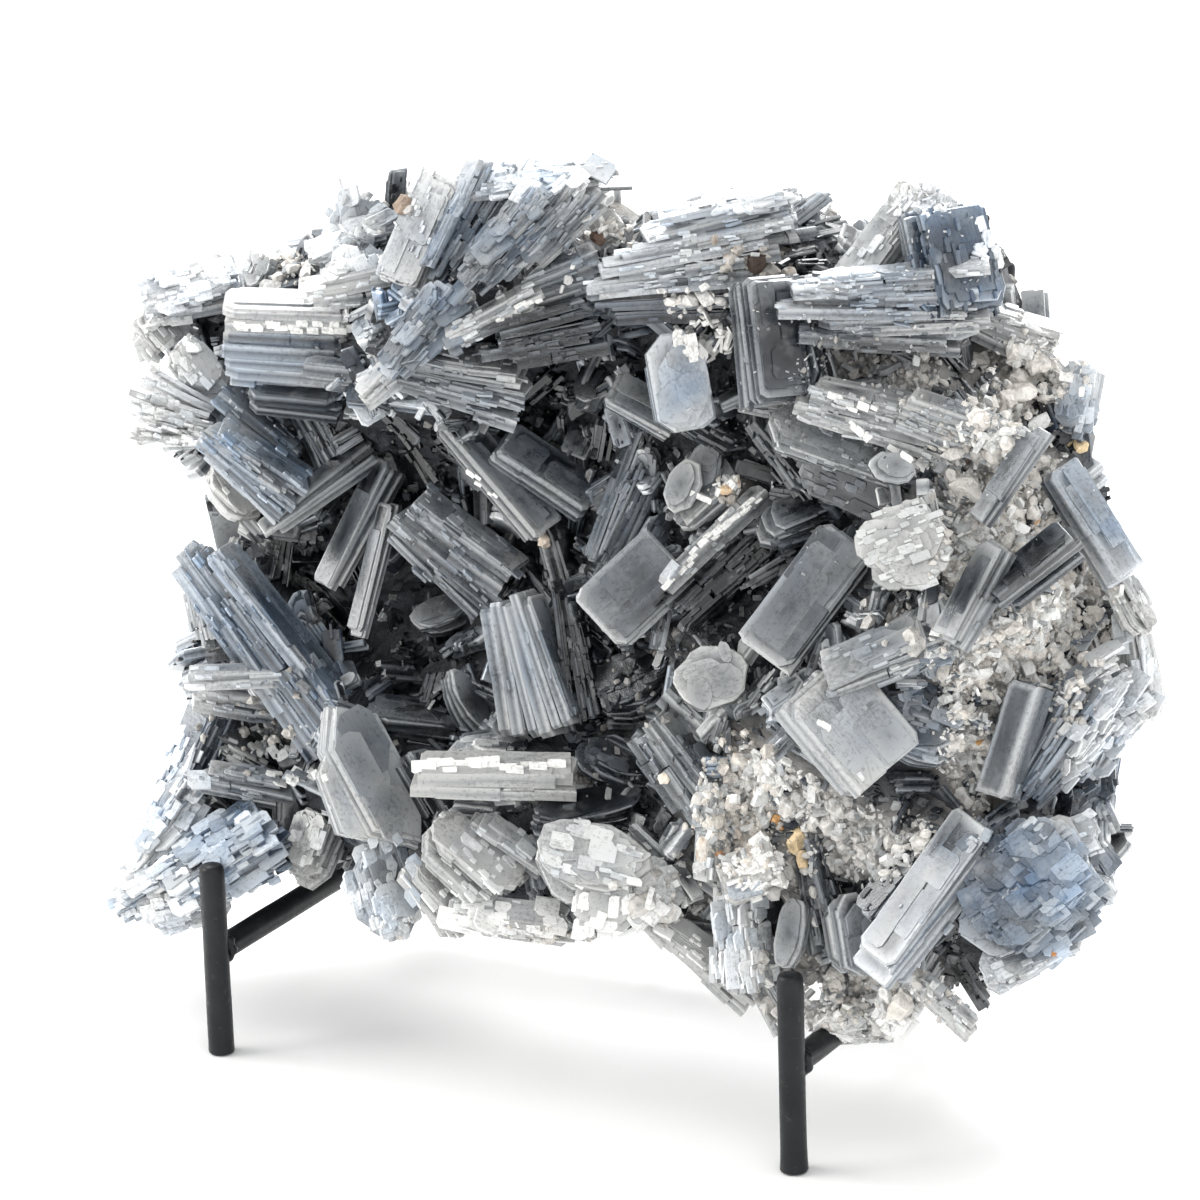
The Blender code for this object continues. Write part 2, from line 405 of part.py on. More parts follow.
def body_mesh():
    """The body under the crystals: its rim follows RIM, its front lies just behind the books and its back is a
    leaning, slightly crowned face."""
    n = len(RIM)
    cu = sum(p[0] for p in RIM) / n
    cv = sum(p[1] for p in RIM) / n
    bm = bmesh.new()
    made = bmesh.ops.create_uvsphere(bm, u_segments=n, v_segments=2 * len(RIM_RINGS) + 4, radius=1.0)["verts"]
    rims = [at(*p) for p in RIM]
    middle = sum(rims, Vector()) / n
    levels = len(RIM_RINGS) + 1
    for vert in made:
        height = round(math.degrees(math.asin(max(-1, min(1, vert.co.z)))) / (180 / (2 * levels + 2)) * 1.0)
        around = math.atan2(vert.co.y, vert.co.x) % (2 * math.pi)
        k = round(around / (2 * math.pi) * n) % n
        u, v, y = RIM[k]
        s = {0: 1.0, 1: RIM_RINGS[2], 2: RIM_RINGS[1], 3: RIM_RINGS[0]}.get(abs(height), 0.0)
        if abs(vert.co.x) < 1e-6 and abs(vert.co.y) < 1e-6:
            s = 0.0
        if height == 0:
            vert.co = rims[k]
            continue
        if height > 0:
            uu, vv = cu + (u - cu) * s, cv + (v - cv) * s
            depth = front_depth(uu, vv)
            depth = depth + (y - depth) * max(0.0, s - .80) * 1.5
            vert.co = at(uu, vv, depth)
        else:
            p = middle + (rims[k] - middle) * s
            plane = BODY_BACK + BODY_LEAN * (p.z - ARM_Z)
            hollow = BODY_ROUGH * (.5 + .5 * math.sin(71 * p.x + 1.3) * math.sin(83 * p.z + 40 * p.x))
            vert.co = Vector((p.x, plane - hollow - 0.012 * max(0, s - .6) / .4, p.z))
    bmesh.ops.recalc_face_normals(bm, faces=bm.faces)
    mesh = bpy.data.meshes.new("body")
    bm.to_mesh(mesh)
    bm.free()
    return mesh


def keep_largest(mesh):
    """Drops the walls of sealed voids and any crystal that met nothing, so that one closed body is left."""
    bm = bmesh.new()
    bm.from_mesh(mesh)
    bmesh.ops.triangulate(bm, faces=bm.faces)
    left, shells = set(bm.faces), []
    while left:
        seed = left.pop()
        shell, stack = [seed], [seed]
        while stack:
            for e in stack.pop().edges:
                for f in e.link_faces:
                    if f in left:
                        left.discard(f)
                        shell.append(f)
                        stack.append(f)
        shells.append(shell)
    shells.sort(key=lambda s: -len(s))
    spare = [f for s in shells[1:] for f in s]
    bmesh.ops.delete(bm, geom=spare, context="FACES")
    bmesh.ops.delete(bm, geom=[v for v in bm.verts if not v.link_faces], context="VERTS")
    bm.to_mesh(mesh)
    bm.free()
    return len(shells)


def boolean(target, other, operation, use_self=False):
    m = target.modifiers.new(operation.lower(), "BOOLEAN")
    m.operation = operation
    m.solver = "EXACT"
    m.object = other
    m.use_self = use_self


def baked(o):
    """The object's evaluated mesh, with its modifiers applied."""
    graph = bpy.context.evaluated_depsgraph_get()
    mesh = bpy.data.meshes.new_from_object(o.evaluated_get(graph))
    return mesh


def main():
    clear_scene()
    parts = collection("barite_on_easel")
    helpers = collection("cutters")
    helpers.hide_render = True
    barite = material("barite", (.42, .48, .54), .3)
    iron = material("black_iron", (.02, .022, .026), .45, .3)

    # rods of the easel
    tip = {s: Vector((s * POST_X, TIP_Y, TIP_Z)) for s in (-1, 1)}
    foot = {s: Vector((s * POST_X, ARM_END_Y, ARM_Z - ROD_R)) for s in (-1, 1)}
    rise = (tip[1] - foot[1]).normalized()
    rods = {}
    for s, side in ((-1, "left"), (1, "right")):
        rods["front_post_" + side] = (Vector((s * POST_X, 0, 0)), Vector((s * POST_X, 0, POST_H)))
        rods["arm_" + side] = (Vector((s * POST_X, ROD_R + GAP, ARM_Z)), Vector((s * POST_X, ARM_END_Y - ROD_R - GAP * 1.2, ARM_Z)))
        rods["upright_" + side] = (foot[s], tip[s])

    def on_upright(z):
        return foot[1] + rise * ((z - foot[1].z) / rise.z)

    inner = POST_X - ROD_R - GAP
    low = on_upright(BAR_LOW_Z)
    high = on_upright(BAR_HIGH_Z)
    rods["cross_bar_lower"] = (Vector((-inner, low.y, low.z)), Vector((inner, low.y, low.z)))
    rods["cross_bar_upper"] = (Vector((-inner, high.y, high.z)), Vector((inner, high.y, high.z)))
    # the rear strut starts behind the upper bar and slopes down and back to the surface
    top = Vector((0, high.y + 2 * ROD_R + GAP * 1.6, BAR_HIGH_Z + 0.004))
    floor_point = Vector((0, FOOT_Y, 0))
    for name, (a, b) in rods.items():
        add(name, rod_mesh(name, a, b, ROD_R, chamfer=.0007 if "post" in name else .0004), parts, iron)
    slope = (floor_point - top).normalized()
    strut = add("rear_strut", rod_mesh("rear_strut", top, floor_point + slope * .006, ROD_R, chamfer=.0004), parts, iron)
    block = bmesh.new()
    bmesh.ops.create_cube(block, size=.04)
    bmesh.ops.translate(block, verts=block.verts, vec=(0, FOOT_Y, -.02))
    block_mesh = bpy.data.meshes.new("floor_cutter")
    block.to_mesh(block_mesh)
    block.free()
    cutter = add("floor_cutter", block_mesh, helpers)
    cutter.hide_render = True
    cutter.display_type = "WIRE"
    boolean(strut, cutter, "DIFFERENCE")
    # a short tie from the lower bar to the strut
    share = (top.z - ARM_Z) / (top.z - floor_point.z)
    on_strut = top + (floor_point - top) * share
    tie = (Vector((0, low.y + ROD_R + GAP, low.z)), Vector((0, on_strut.y - ROD_R / math.cos(math.atan2(-slope.z, slope.y) - math.pi / 2) - .0012, ARM_Z)))
    add("strut_tie", rod_mesh("strut_tie", tie[0], tie[1], ROD_R * .8, chamfer=.0004), parts, iron)

    # the specimen: its body and every book of crystals joined in one solid
    body = add("barite_cluster", body_mesh(), parts, barite)
    books = collection("crystal_books")
    books.hide_render = True
    add_books(books)
    grow = body.modifiers.new("grow", "BOOLEAN")
    grow.operation = "UNION"
    grow.solver = "EXACT"
    grow.operand_type = "COLLECTION"
    grow.collection = books
    joined = baked(body)
    body.modifiers.clear()
    body.data = joined
    # room for the rods that it stands against
    room = bmesh.new()
    for name, (a, b) in rods.items():
        axis = b - a
        made = bmesh.ops.create_cone(room, cap_ends=True, segments=10, radius1=ROD_R + .0006, radius2=ROD_R + .0006, depth=axis.length + .003)["verts"]
        m = Matrix.Translation((a + b) / 2) @ axis.to_track_quat("Z", "Y").to_matrix().to_4x4()
        bmesh.ops.transform(room, matrix=m, verts=made)
    room_mesh = bpy.data.meshes.new("rod_room")
    room.to_mesh(room_mesh)
    room.free()
    rod_room = add("rod_room", room_mesh, helpers)
    rod_room.hide_render = True
    rod_room.display_type = "WIRE"
    boolean(body, rod_room, "DIFFERENCE", use_self=True)
    cut = baked(body)
    body.modifiers.clear()
    body.data = cut
    keep_largest(cut)
    bpy.data.objects.remove(rod_room)

    # the origin goes under the middle of the whole
    graph = bpy.context.evaluated_depsgraph_get()
    points = [o.evaluated_get(graph).matrix_world @ v.co for o in parts.objects for v in o.evaluated_get(graph).data.vertices]
    middle = Vector([(min(p[i] for p in points) + max(p[i] for p in points)) / 2 for i in (0, 1)] + [0])
    for o in list(parts.objects) + list(helpers.objects) + list(books.objects):
        o.data.transform(Matrix.Translation(-middle))


if __name__ == "__main__":
    main()
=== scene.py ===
"""Looks of the barite crystal cluster on its easel.

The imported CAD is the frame. The specimen is drawn as some hundreds of books of thin crystal blades, each book in
the place that its CAD counterpart has, over a rough body with small blades, druse and crumbs of matrix. at()
turns a place in the reference picture (1200 units square) and a distance behind the easel's front posts in mm
into a point. The CAD rods are drawn again with rounded ends, hammered surfaces and welds.
"""
import math

import bmesh
import bpy
import numpy as np
from mathutils import Matrix, Vector, noise
from mathutils.bvhtree import BVHTree


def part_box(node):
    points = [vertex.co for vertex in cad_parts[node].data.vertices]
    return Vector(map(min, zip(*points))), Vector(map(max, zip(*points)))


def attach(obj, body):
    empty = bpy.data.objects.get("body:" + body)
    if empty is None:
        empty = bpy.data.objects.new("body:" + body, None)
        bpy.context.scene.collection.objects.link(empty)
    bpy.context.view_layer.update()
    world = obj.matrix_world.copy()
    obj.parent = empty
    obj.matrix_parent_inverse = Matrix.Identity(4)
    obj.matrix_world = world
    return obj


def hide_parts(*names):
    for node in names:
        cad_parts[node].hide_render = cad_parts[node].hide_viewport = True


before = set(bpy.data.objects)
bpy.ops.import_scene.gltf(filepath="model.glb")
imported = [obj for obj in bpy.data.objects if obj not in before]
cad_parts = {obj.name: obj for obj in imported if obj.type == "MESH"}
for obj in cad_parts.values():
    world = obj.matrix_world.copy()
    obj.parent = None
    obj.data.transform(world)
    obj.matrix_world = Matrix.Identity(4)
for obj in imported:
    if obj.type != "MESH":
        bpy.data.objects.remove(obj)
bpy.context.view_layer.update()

RNG = np.random.default_rng(40610)

# ---------------------------------------------------------------- easel frame and reference view
ROD_R = 0.0025
POST_X = 0.0635
_lo, _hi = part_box("front_post_left")
SHIFT = Vector(((_lo[0] + _hi[0]) / 2 + POST_X, (_lo[1] + _hi[1]) / 2, 0))   # from the easel's own frame to the row's
EYE = Vector((0.5274, -0.8489, 0.4391))
AZIMUTH, ELEVATION, ROLL = (math.radians(a) for a in (30.58, 18.66, 1.855))
FOCAL = 5710.0
UNIT = 0.00019
BACK = Vector((math.sin(AZIMUTH) * math.cos(ELEVATION), -math.cos(AZIMUTH) * math.cos(ELEVATION), math.sin(ELEVATION)))
_right = (-BACK).cross(Vector((0, 0, 1))).normalized()
_up = _right.cross(-BACK)
RIGHT = math.cos(ROLL) * _right - math.sin(ROLL) * _up
UP = math.sin(ROLL) * _right + math.cos(ROLL) * _up
ARM_Z = 0.0212


def at(u, v, y):
    """The point y mm behind the front posts that shows at (u, v) in the reference picture, in the easel's frame."""
    d = -BACK + RIGHT * ((u - 600) / FOCAL) + UP * ((600 - v) / FOCAL)
    return EYE + d * ((y / 1000 - EYE.y) / d.y)


def picture(points):
    """Where points (n, 3) of the easel's frame show in the reference picture, as (n, 2)."""
    d = points - np.array(EYE)
    depth = -(d @ np.array(BACK))
    return np.stack([600 + FOCAL * (d @ np.array(RIGHT)) / depth, 600 - FOCAL * (d @ np.array(UP)) / depth], 1)


# ---------------------------------------------------------------- books of crystals
# name, u, v, y, length, width, stack, crystals, direction of the long axis in the picture, lean towards the
# viewer, turn about the long axis (0 broad face, 90 edges), splay, where the splay starts, outline,
# paleness, blueness, raggedness
# paleness is partly painted light: books deep in the cavities, such as cave_c, cave_left, diag_lam and vee_book, are
# near black as painted shade, and bright_bar is pale as a painted highlight
BOOKS = {
    "upper_left": [
        ("tl_slab", 190, 290, 46, 108, 62, 40, 4, 14, 0, 40, 10, 0, "B", 0.78, 0.5, 0.8),
        ("tl_nub", 258, 272, 50, 34, 34, 20, 2, 70, 0, 30, 6, 0, "H", 0.88, 0.2, 0.6),
        ("tl_fan_low", 352, 284, 32, 92, 58, 40, 4, 8, 0, 55, 12, 0, "H", 0.66, 0.2, 1),
        ("tl_fan_up", 350, 240, 40, 84, 50, 44, 7, 20, 0, 62, 24, .4, "H", 0.62, 0.3, 1),
        ("tl_fan_tip", 352, 214, 46, 56, 26, 34, 5, 55, 0, 70, 30, -.3, "H", 0.74, 0.3, 1),
        ("block_top", 287, 318, 30, 128, 60, 40, 3, -3, 0, 62, 3, 0, "B", 0.62, 0.3, 0.4),
        ("block_face", 285, 352, 30, 124, 70, 62, 5, -4, 0, 66, 4, 0, "B", 0.42, 0.9, 0.5),
        ("block_low", 300, 384, 32, 100, 60, 40, 3, -6, 0, 35, 5, 0, "B", 0.16, 0.5, 0.6),
        ("block_dark", 318, 420, 40, 90, 50, 40, 4, -62, 0, 50, 12, 0, "H", 0.28, 0.3, 1),
        ("block_bar", 335, 372, 26, 62, 24, 24, 2, -6, 0, 50, 3, 0, "B", 0.34, 0.5, 0.6),
    ],
    "left_bow": [
        ("bow_tips", 172, 414, 28, 88, 44, 60, 6, 165, 10, 75, 38, -.5, "B", 0.76, 0.3, 1),
        ("bow_body", 248, 462, 28, 118, 60, 50, 5, -38, 0, 62, 12, .2, "B", 0.45, 0.9, 1),
        ("bow_low", 178, 440, 30, 60, 20, 16, 1, 3, 0, 60, 0, 0, "B", 0.6, 0.5, 0.8),
        ("left_knob", 157, 331, 42, 44, 36, 30, 2, -50, 0, 30, 8, 0, "B", 0.77, 0.1, 0.6),
        ("left_pale", 196, 368, 36, 70, 50, 30, 3, -50, 0, 35, 10, 0, "H", 0.78, 0.3, 0.8),
        ("left_round", 236, 490, 40, 80, 52, 46, 3, -48, 0, 20, 8, 0, "R", 0.8, 0, 0.5),
        ("left_dark", 262, 432, 38, 104, 44, 34, 3, -40, 0, 60, 8, 0, "B", 0.46, 0.7, 1),
    ],
    "crown": [
        ("crown_slab", 425, 226, 28, 124, 58, 30, 3, 66, 0, 30, 6, 0, "B", 0.5, 0.3, 0.8),
        ("crown_a", 470, 222, 28, 120, 50, 50, 6, 58, 0, 68, 18, -.3, "H", 0.34, 0.7, 1),
        ("crown_top", 546, 178, 36, 136, 46, 30, 5, 7, 0, 55, 10, 0, "H", 0.66, 0.5, 1.3),
        ("crown_b", 510, 240, 22, 130, 46, 50, 6, 46, 0, 66, 14, -.3, "H", 0.36, 0.6, 1),
        ("crown_c", 552, 230, 28, 110, 50, 44, 5, 48, 0, 66, 12, 0, "H", 0.36, 0.5, 1),
        ("crown_right", 564, 282, 28, 90, 48, 48, 4, 18, 0, 62, 10, 0, "B", 0.39, 0.4, 1),
        ("crown_edge", 490, 318, 16, 122, 30, 22, 3, 25, 0, 64, 6, 0, "B", 0.62, 0.3, 1),
        ("crown_low", 544, 337, 20, 112, 46, 52, 5, 12, 0, 78, 8, 0, "B", 0.1, 0.4, 1),
        ("crown_under", 462, 380, 16, 130, 56, 54, 5, -14, 0, 55, 14, -.3, "H", 0.42, 0.3, 1),
        ("crown_waist", 424, 330, 12, 110, 50, 44, 6, 50, 0, 60, 20, 0, "H", 0.36, 1, 1),
        ("crown_tip", 388, 376, 10, 70, 34, 34, 3, 40, 0, 60, 14, .4, "B", 0.62, 0.4, 0.8),
        ("crown_nub", 605, 228, 38, 34, 30, 20, 2, 30, 0, 30, 5, 0, "B", 0.92, 0.1, 0.8),
    ],
    "ridge": [
        ("ridge_low", 668, 296, 26, 160, 50, 56, 6, 5, 0, 80, 10, 0, "B", 0.18, 0.6, 1),
        ("ridge_mid", 690, 262, 28, 196, 50, 50, 5, 8, 0, 74, 8, 0, "B", 0.6, 0.5, 1),
        ("ridge_up", 728, 218, 36, 164, 50, 50, 6, 11, 0, 62, 10, 0, "H", 0.64, 0.6, 1.2),
        ("ridge_top", 712, 198, 38, 92, 30, 14, 2, 8, 0, 60, 4, 0, "B", 0.72, 0.5, 1),
        ("column", 770, 338, 22, 128, 58, 50, 4, -83, 0, 25, 8, 0, "B", 0.14, 0.3, 0.45),
        ("column_side", 800, 350, 26, 110, 50, 50, 5, -78, 0, -40, 12, 0, "H", 0.12, 0.4, 1),
        ("blue_plate", 678, 381, 22, 102, 62, 24, 2, -80, 0, 12, 2, 0, "H", 0.58, 0.85, 0.3),
        ("blue_stem", 674, 388, 32, 70, 40, 110, 1, -80, 0, 12, 0, 0, "B", 0.12, 0.3, 1),
        ("plate_behind", 643, 403, 32, 84, 46, 16, 2, -30, 0, 25, 3, 0, "B", 0.4, 0.4, 0.6),
    ],
    "cave": [
        ("cave_a", 598, 386, 40, 60, 44, 30, 3, 60, 0, 35, 10, 0, "H", 0.34, 0.3, 1),
        ("cave_b", 588, 432, 44, 56, 40, 24, 2, 65, 0, 25, 6, 0, "B", 0.22, 0.2, 1),
        ("cave_c", 540, 395, 50, 80, 34, 24, 3, 75, 0, 60, 14, 0, "H", 0.05, 0.2, 1),
        ("cave_d", 716, 428, 36, 70, 40, 30, 3, -30, 0, 40, 12, 0, "H", 0.26, 0.3, 1),
        ("diag_long", 495, 472, 36, 156, 42, 22, 2, -50, 0, 32, 4, 0, "B", 0.4, 0.4, 0.45),
        ("diag_two", 550, 472, 40, 116, 54, 26, 2, -34, 0, 35, 5, 0, "B", 0.43, 0.4, 0.45),
        ("diag_lam", 552, 512, 46, 130, 40, 44, 5, -42, 0, 70, 8, 0, "B", 0.05, 0.3, 1),
        ("diag_end", 562, 558, 42, 96, 38, 26, 3, -76, 0, 40, 6, 0, "B", 0.26, 0.3, 0.8),
        ("mid_book", 456, 552, 38, 132, 50, 80, 5, -40, 0, 48, 12, 0, "H", 0.42, 0.4, 1),
        ("mid_vert", 530, 668, 26, 150, 46, 78, 6, -76, 0, 62, 16, 0, "B", 0.5, 0.5, 0.5),
        ("mid_vert_dark", 580, 655, 30, 130, 40, 30, 4, -80, 0, 70, 10, 0, "B", 0.08, 0.5, 1),
        ("mid_pair", 466, 704, 32, 82, 32, 30, 3, -62, 0, 40, 12, 0, "R", 0.56, 0.3, 0.5),
        ("mid_lump", 444, 614, 42, 66, 40, 30, 3, 20, 0, 30, 14, 0, "R", 0.42, 0.2, 0.6),
        ("bar_a", 320, 487, 34, 138, 30, 26, 3, 36, 0, 55, 5, 0, "B", 0.3, 0.3, 0.48),
        ("bar_b", 358, 524, 36, 150, 32, 24, 3, 62, 0, 48, 6, 0, "B", 0.34, 0.3, 0.48),
        ("bar_c", 374, 566, 34, 148, 22, 18, 2, 76, 0, 40, 4, 0, "B", 0.42, 0.3, 0.48),
        ("bar_d", 420, 455, 46, 80, 24, 24, 3, -55, 0, 60, 10, 0, "H", 0.14, 0.3, 1),
        ("bar_e", 345, 480, 44, 90, 26, 26, 3, 50, 0, 60, 10, 0, "H", 0.2, 0.3, 1),
        ("cave_left", 330, 570, 48, 110, 40, 40, 4, -35, 0, 50, 20, 0, "H", 0.03, 0.2, 1),
    ],
    "centre": [
        ("vee_left", 632, 500, 34, 150, 40, 44, 6, 66, 0, 70, 10, -.2, "H", 0.37, 0.4, 1),
        ("vee_plate", 634, 590, 22, 104, 80, 14, 2, 43, 0, 12, 2, 0, "B", 0.38, 0.3, 0.3),
        ("vee_strip", 712, 540, 27, 138, 20, 20, 1, 43, 0, 50, 0, 0, "B", 0.56, 0.2, 0.8),
        ("vee_book", 722, 570, 30, 130, 50, 56, 5, 43, 0, -68, 8, 0, "B", 0.05, 0.3, 1),
        ("vee_chip", 700, 505, 30, 70, 40, 26, 3, 40, 0, 45, 10, 0, "H", 0.4, 0.1, 1),
        ("oval_a", 684, 484, 28, 62, 36, 14, 1, 68, 0, 15, 0, 0, "R", 0.5, 0.2, 0.5),
        ("oval_b", 702, 474, 32, 66, 38, 14, 1, 78, 0, 20, 0, 0, "R", 0.41, 0.2, 0.5),
        ("dark_mid", 636, 684, 32, 90, 70, 44, 4, 30, 0, 40, 16, 0, "R", 0.2, 0.3, 0.65),
        ("dark_low", 625, 765, 30, 100, 60, 40, 4, -20, 0, 40, 16, 0, "R", 0.38, 0.3, 0.65),
        ("octagon", 709, 682, 16, 80, 70, 20, 1, 20, 0, 12, 0, 0, "R", 0.58, 0.1, 0.5),
        ("book_right", 674, 760, 18, 96, 40, 56, 4, -55, 0, 50, 8, 0, "B", 0.34, 0.3, 0.8),
    ],
    "right_middle": [
        ("arch_a", 800, 402, 28, 110, 40, 30, 3, -10, 0, 62, 4, 0, "B", 0.34, 0.1, 1),
        ("arch_b", 890, 420, 26, 170, 40, 44, 4, -14, 0, 60, 6, 0, "B", 0.56, 0.15, 1),
        ("arch_c", 965, 430, 30, 130, 40, 40, 4, -20, 0, 66, 8, 0, "B", 0.48, 0.2, 1),
        ("arch_face", 842, 440, 28, 150, 70, 20, 2, -20, 0, 20, 3, 0, "H", 0.52, 0.2, 0.8),
        ("arch_low", 795, 455, 32, 110, 50, 40, 4, -52, 0, 40, 12, 0, "H", 0.12, 0.3, 1),
        ("arch_low2", 850, 480, 30, 130, 50, 50, 4, -22, 0, -20, 14, 0, "H", 0.24, 0.3, 1),
        ("arch_under", 820, 510, 36, 120, 50, 40, 4, 20, 0, 40, 16, 0, "H", 0.28, 0.3, 1),
        ("lozenge", 892, 468, 22, 46, 32, 12, 1, -12, 0, 10, 0, 0, "R", 0.5, 0.2, 0.5),
    ],
    "upper_right": [
        ("ur_bands", 888, 300, 32, 186, 50, 70, 6, 2, 0, 66, 10, 0, "H", 0.48, 0.5, 1.2),
        ("ur_bands2", 892, 334, 32, 166, 46, 34, 3, -2, 0, 62, 6, 0, "H", 0.28, 0.3, 1.2),
        ("ur_left", 815, 300, 32, 86, 50, 50, 4, 10, 0, 60, 12, 0, "H", 0.34, 0.2, 1.2),
        ("peak_slab", 888, 240, 42, 114, 56, 30, 3, 52, 0, 30, 6, 0, "B", 0.58, 0.2, 1),
        ("peak_blue", 950, 262, 41, 112, 96, 54, 5, -78, 0, 36, 12, 0, "B", 0.12, 1.1, .7),
        ("peak_top", 928, 215, 48, 60, 50, 30, 3, 75, 0, 35, 12, 0, "R", 0.66, 0.6, 0.8),
        ("edge_fan", 1018, 334, 57, 80, 36, 44, 4, -22, 0, 60, 14, 0, "H", 0.8, 0.2, 1),
        ("edge_pale", 1079, 398, 58, 80, 40, 36, 2, 80, 0, 30, 5, 0, "H", 0.68, 0.6, 0.8),
        ("long_blue", 1091, 524, 48, 132, 44, 28, 2, -58, 0, 32, 3, 0, "B", 0.62, 0.8, 0.45),
        ("edge_mid", 1122, 592, 52, 86, 40, 30, 4, -62, 0, 60, 12, 0, "H", 0.7, 0.1, 1),
        ("edge_low", 1134, 660, 54, 106, 44, 36, 5, -84, 0, 60, 14, 0, "H", 0.78, 0.2, 1.2),
        ("edge_low2", 1106, 722, 46, 106, 50, 44, 6, 60, 0, 66, 16, 0, "H", 0.6, 0.5, 1),
        ("m_bar_a", 1012, 474, 28, 108, 34, 16, 2, 56, 0, 50, 0, 0, "B", 0.3, 0.3, .6),
        ("m_dark_b", 978, 596, 19, 100, 40, 30, 3, 60, 0, 55, 6, 0, "B", 0.36, 0.3, .6),
        ("m_dark_c", 1036, 566, 25, 96, 40, 30, 3, 38, 0, 50, 6, 0, "B", 0.1, 0.4, .6),
        ("rosette", 906, 550, 17, 84, 80, 34, 2, 20, 0, 8, 4, 0, "R", 0.6, 0, 1),
        ("rosette_stem", 906, 552, 26, 60, 54, 96, 1, 20, 0, 8, 0, 0, "B", 0.2, 0.2, 1),
        ("slab_long", 806, 600, 22, 152, 70, 22, 2, 53, 0, 20, 3, 0, "B", 0.42, 0.3, 0.3),
        ("slab_side", 772, 612, 26, 116, 30, 16, 1, 56, 0, 55, 0, 0, "B", 0.44, 0.1, 0.6),
        ("rhomb", 848, 728, 8, 112, 98, 40, 3, -50, 0, 26, 2, 0, "B", 0.66, 0.3, 0.25),
        ("rhomb_top", 880, 652, 14, 126, 64, 34, 4, 22, 0, 45, 10, 0, "H", 0.52, 0.3, 0.8),
        ("eye", 922, 738, 18, 76, 60, 34, 4, -15, 0, 35, 12, 0, "R", 0.44, 0.4, 0.65),
        ("bar_blue", 1013, 744, 27, 122, 34, 40, 1, 72, 0, 28, 0, 0, "B", 0.46, 0.6, 0.4),
        ("fan_dark_a", 1062, 745, 36, 140, 50, 60, 7, 52, 0, 68, 20, -.2, "H", 0.36, 0.7, 1),
        ("fan_dark_b", 1080, 700, 42, 106, 50, 50, 6, 30, 0, 66, 18, -.3, "H", 0.54, 0.6, 1),
    ],
    "lower_right": [
        ("lr_slab", 930, 898, 8, 170, 60, 34, 4, 52, 0, 42, 5, 0, "B", 0.44, 0.55, 0.6),
        ("lr_slab_b", 902, 882, 12, 106, 40, 30, 3, 50, 0, 50, 6, 0, "H", 0.14, 0.4, 0.8),
        ("lr_core", 1028, 893, 12, 146, 116, 60, 6, 40, 0, 30, 24, 0, "R", 0.3, 1, 0.65),
        ("lr_rim", 1042, 848, 18, 120, 50, 30, 3, 20, 0, 45, 12, 0, "H", 0.56, 0.5, 1),
        ("lr_face", 1030, 948, 10, 104, 56, 30, 3, 28, 0, 25, 8, 0, "H", 0.48, 0.5, 1),
        ("lr_tail", 945, 1006, 10, 74, 30, 24, 3, -42, 0, 50, 6, 0, "B", 0.48, 0.2, 1),
        ("lr_tail_b", 905, 983, 14, 86, 50, 30, 3, 60, 0, 45, 10, 0, "H", 0.43, 0.3, 1),
        ("bottom_rim", 852, 1020, 18, 100, 34, 34, 2, 5, 0, 40, 8, 0, "H", 0.6, 0.1, 1),
        ("bottom_clear", 851, 935, 12, 84, 42, 34, 2, -80, 0, 25, 4, 0, "H", 0.5, 0.3, 0.6),
        ("bottom_dark", 822, 890, 16, 110, 50, 40, 5, -78, 0, 60, 10, 0, "H", 0.24, 0.4, 1),
        ("bottom_left", 742, 930, 12, 116, 54, 50, 5, -84, 0, 50, 14, 0, "H", 0.64, 0.3, 1),
        ("bottom_left_b", 768, 980, 14, 100, 50, 36, 4, -62, 0, 45, 12, 0, "H", 0.46, 0.4, 1),
        ("bottom_leaf", 791, 932, 9, 76, 34, 14, 1, 80, 0, 30, 0, 0, "R", 0.34, 0.3, 0.5),
        ("white_lump", 755, 872, 8, 62, 56, 30, 3, 20, 0, 25, 12, 0, "B", 1.0, 0, 1),
        ("mid_edge", 712, 836, 14, 106, 36, 30, 3, 86, 0, 50, 8, 0, "H", 0.62, 0.2, 1),
        ("link_a", 690, 946, 14, 104, 40, 30, 3, -38, 0, 40, 10, 0, "H", 0.74, 0.1, 1),
        ("link_b", 724, 980, 16, 80, 30, 24, 3, -42, 0, 45, 8, 0, "H", 0.72, 0.1, 1),
    ],
    "bottom_middle": [
        ("bright_bar", 501, 776, 12, 168, 44, 30, 2, -1, 0, 56, 2, 0, "B", 0.78, 0.1, 0.6),
        ("dark_shelf", 590, 818, 20, 130, 50, 50, 5, 5, 0, 50, 12, 0, "R", 0.16, 0.3, 0.65),
        ("shells", 596, 862, 9, 124, 88, 60, 4, -12, 0, 18, 8, 0, "R", 0.6, 0.15, 0.65),
        ("shell_square", 606, 895, 7, 66, 62, 34, 2, 85, 0, 10, 3, 0, "B", 0.62, 0.1, 0.4),
        ("shell_lobe", 648, 893, 12, 60, 58, 36, 2, -40, 0, 15, 4, 0, "R", 0.66, 0.2, 0.8),
        ("chev_a", 470, 860, 8, 110, 60, 50, 5, -42, 0, 40, 12, 0, "H", 0.68, 0.1, 1),
        ("chev_b", 442, 893, 8, 86, 50, 40, 4, -50, 0, 38, 10, 0, "H", 0.68, 0.1, 1),
        ("chev_c", 510, 850, 12, 90, 40, 30, 3, -38, 0, 45, 8, 0, "B", 0.66, 0.2, 1),
        ("chev_low", 515, 918, 8, 124, 40, 30, 4, -8, 0, 35, 10, 0, "H", 0.64, 0.2, 1),
    ],
    "lower_left": [
        ("long_book", 268, 645, 24, 258, 60, 66, 5, -53, 0, 58, 6, 0, "B", 0.36, 0.9, 0.8),
        ("left_blades", 208, 600, 34, 96, 46, 44, 5, -75, 0, 55, 18, 0, "H", 0.6, 0.3, 1),
        ("left_hbar", 238, 676, 18, 108, 30, 20, 2, 2, 0, 55, 3, 0, "B", 0.56, 0.4, 0.8),
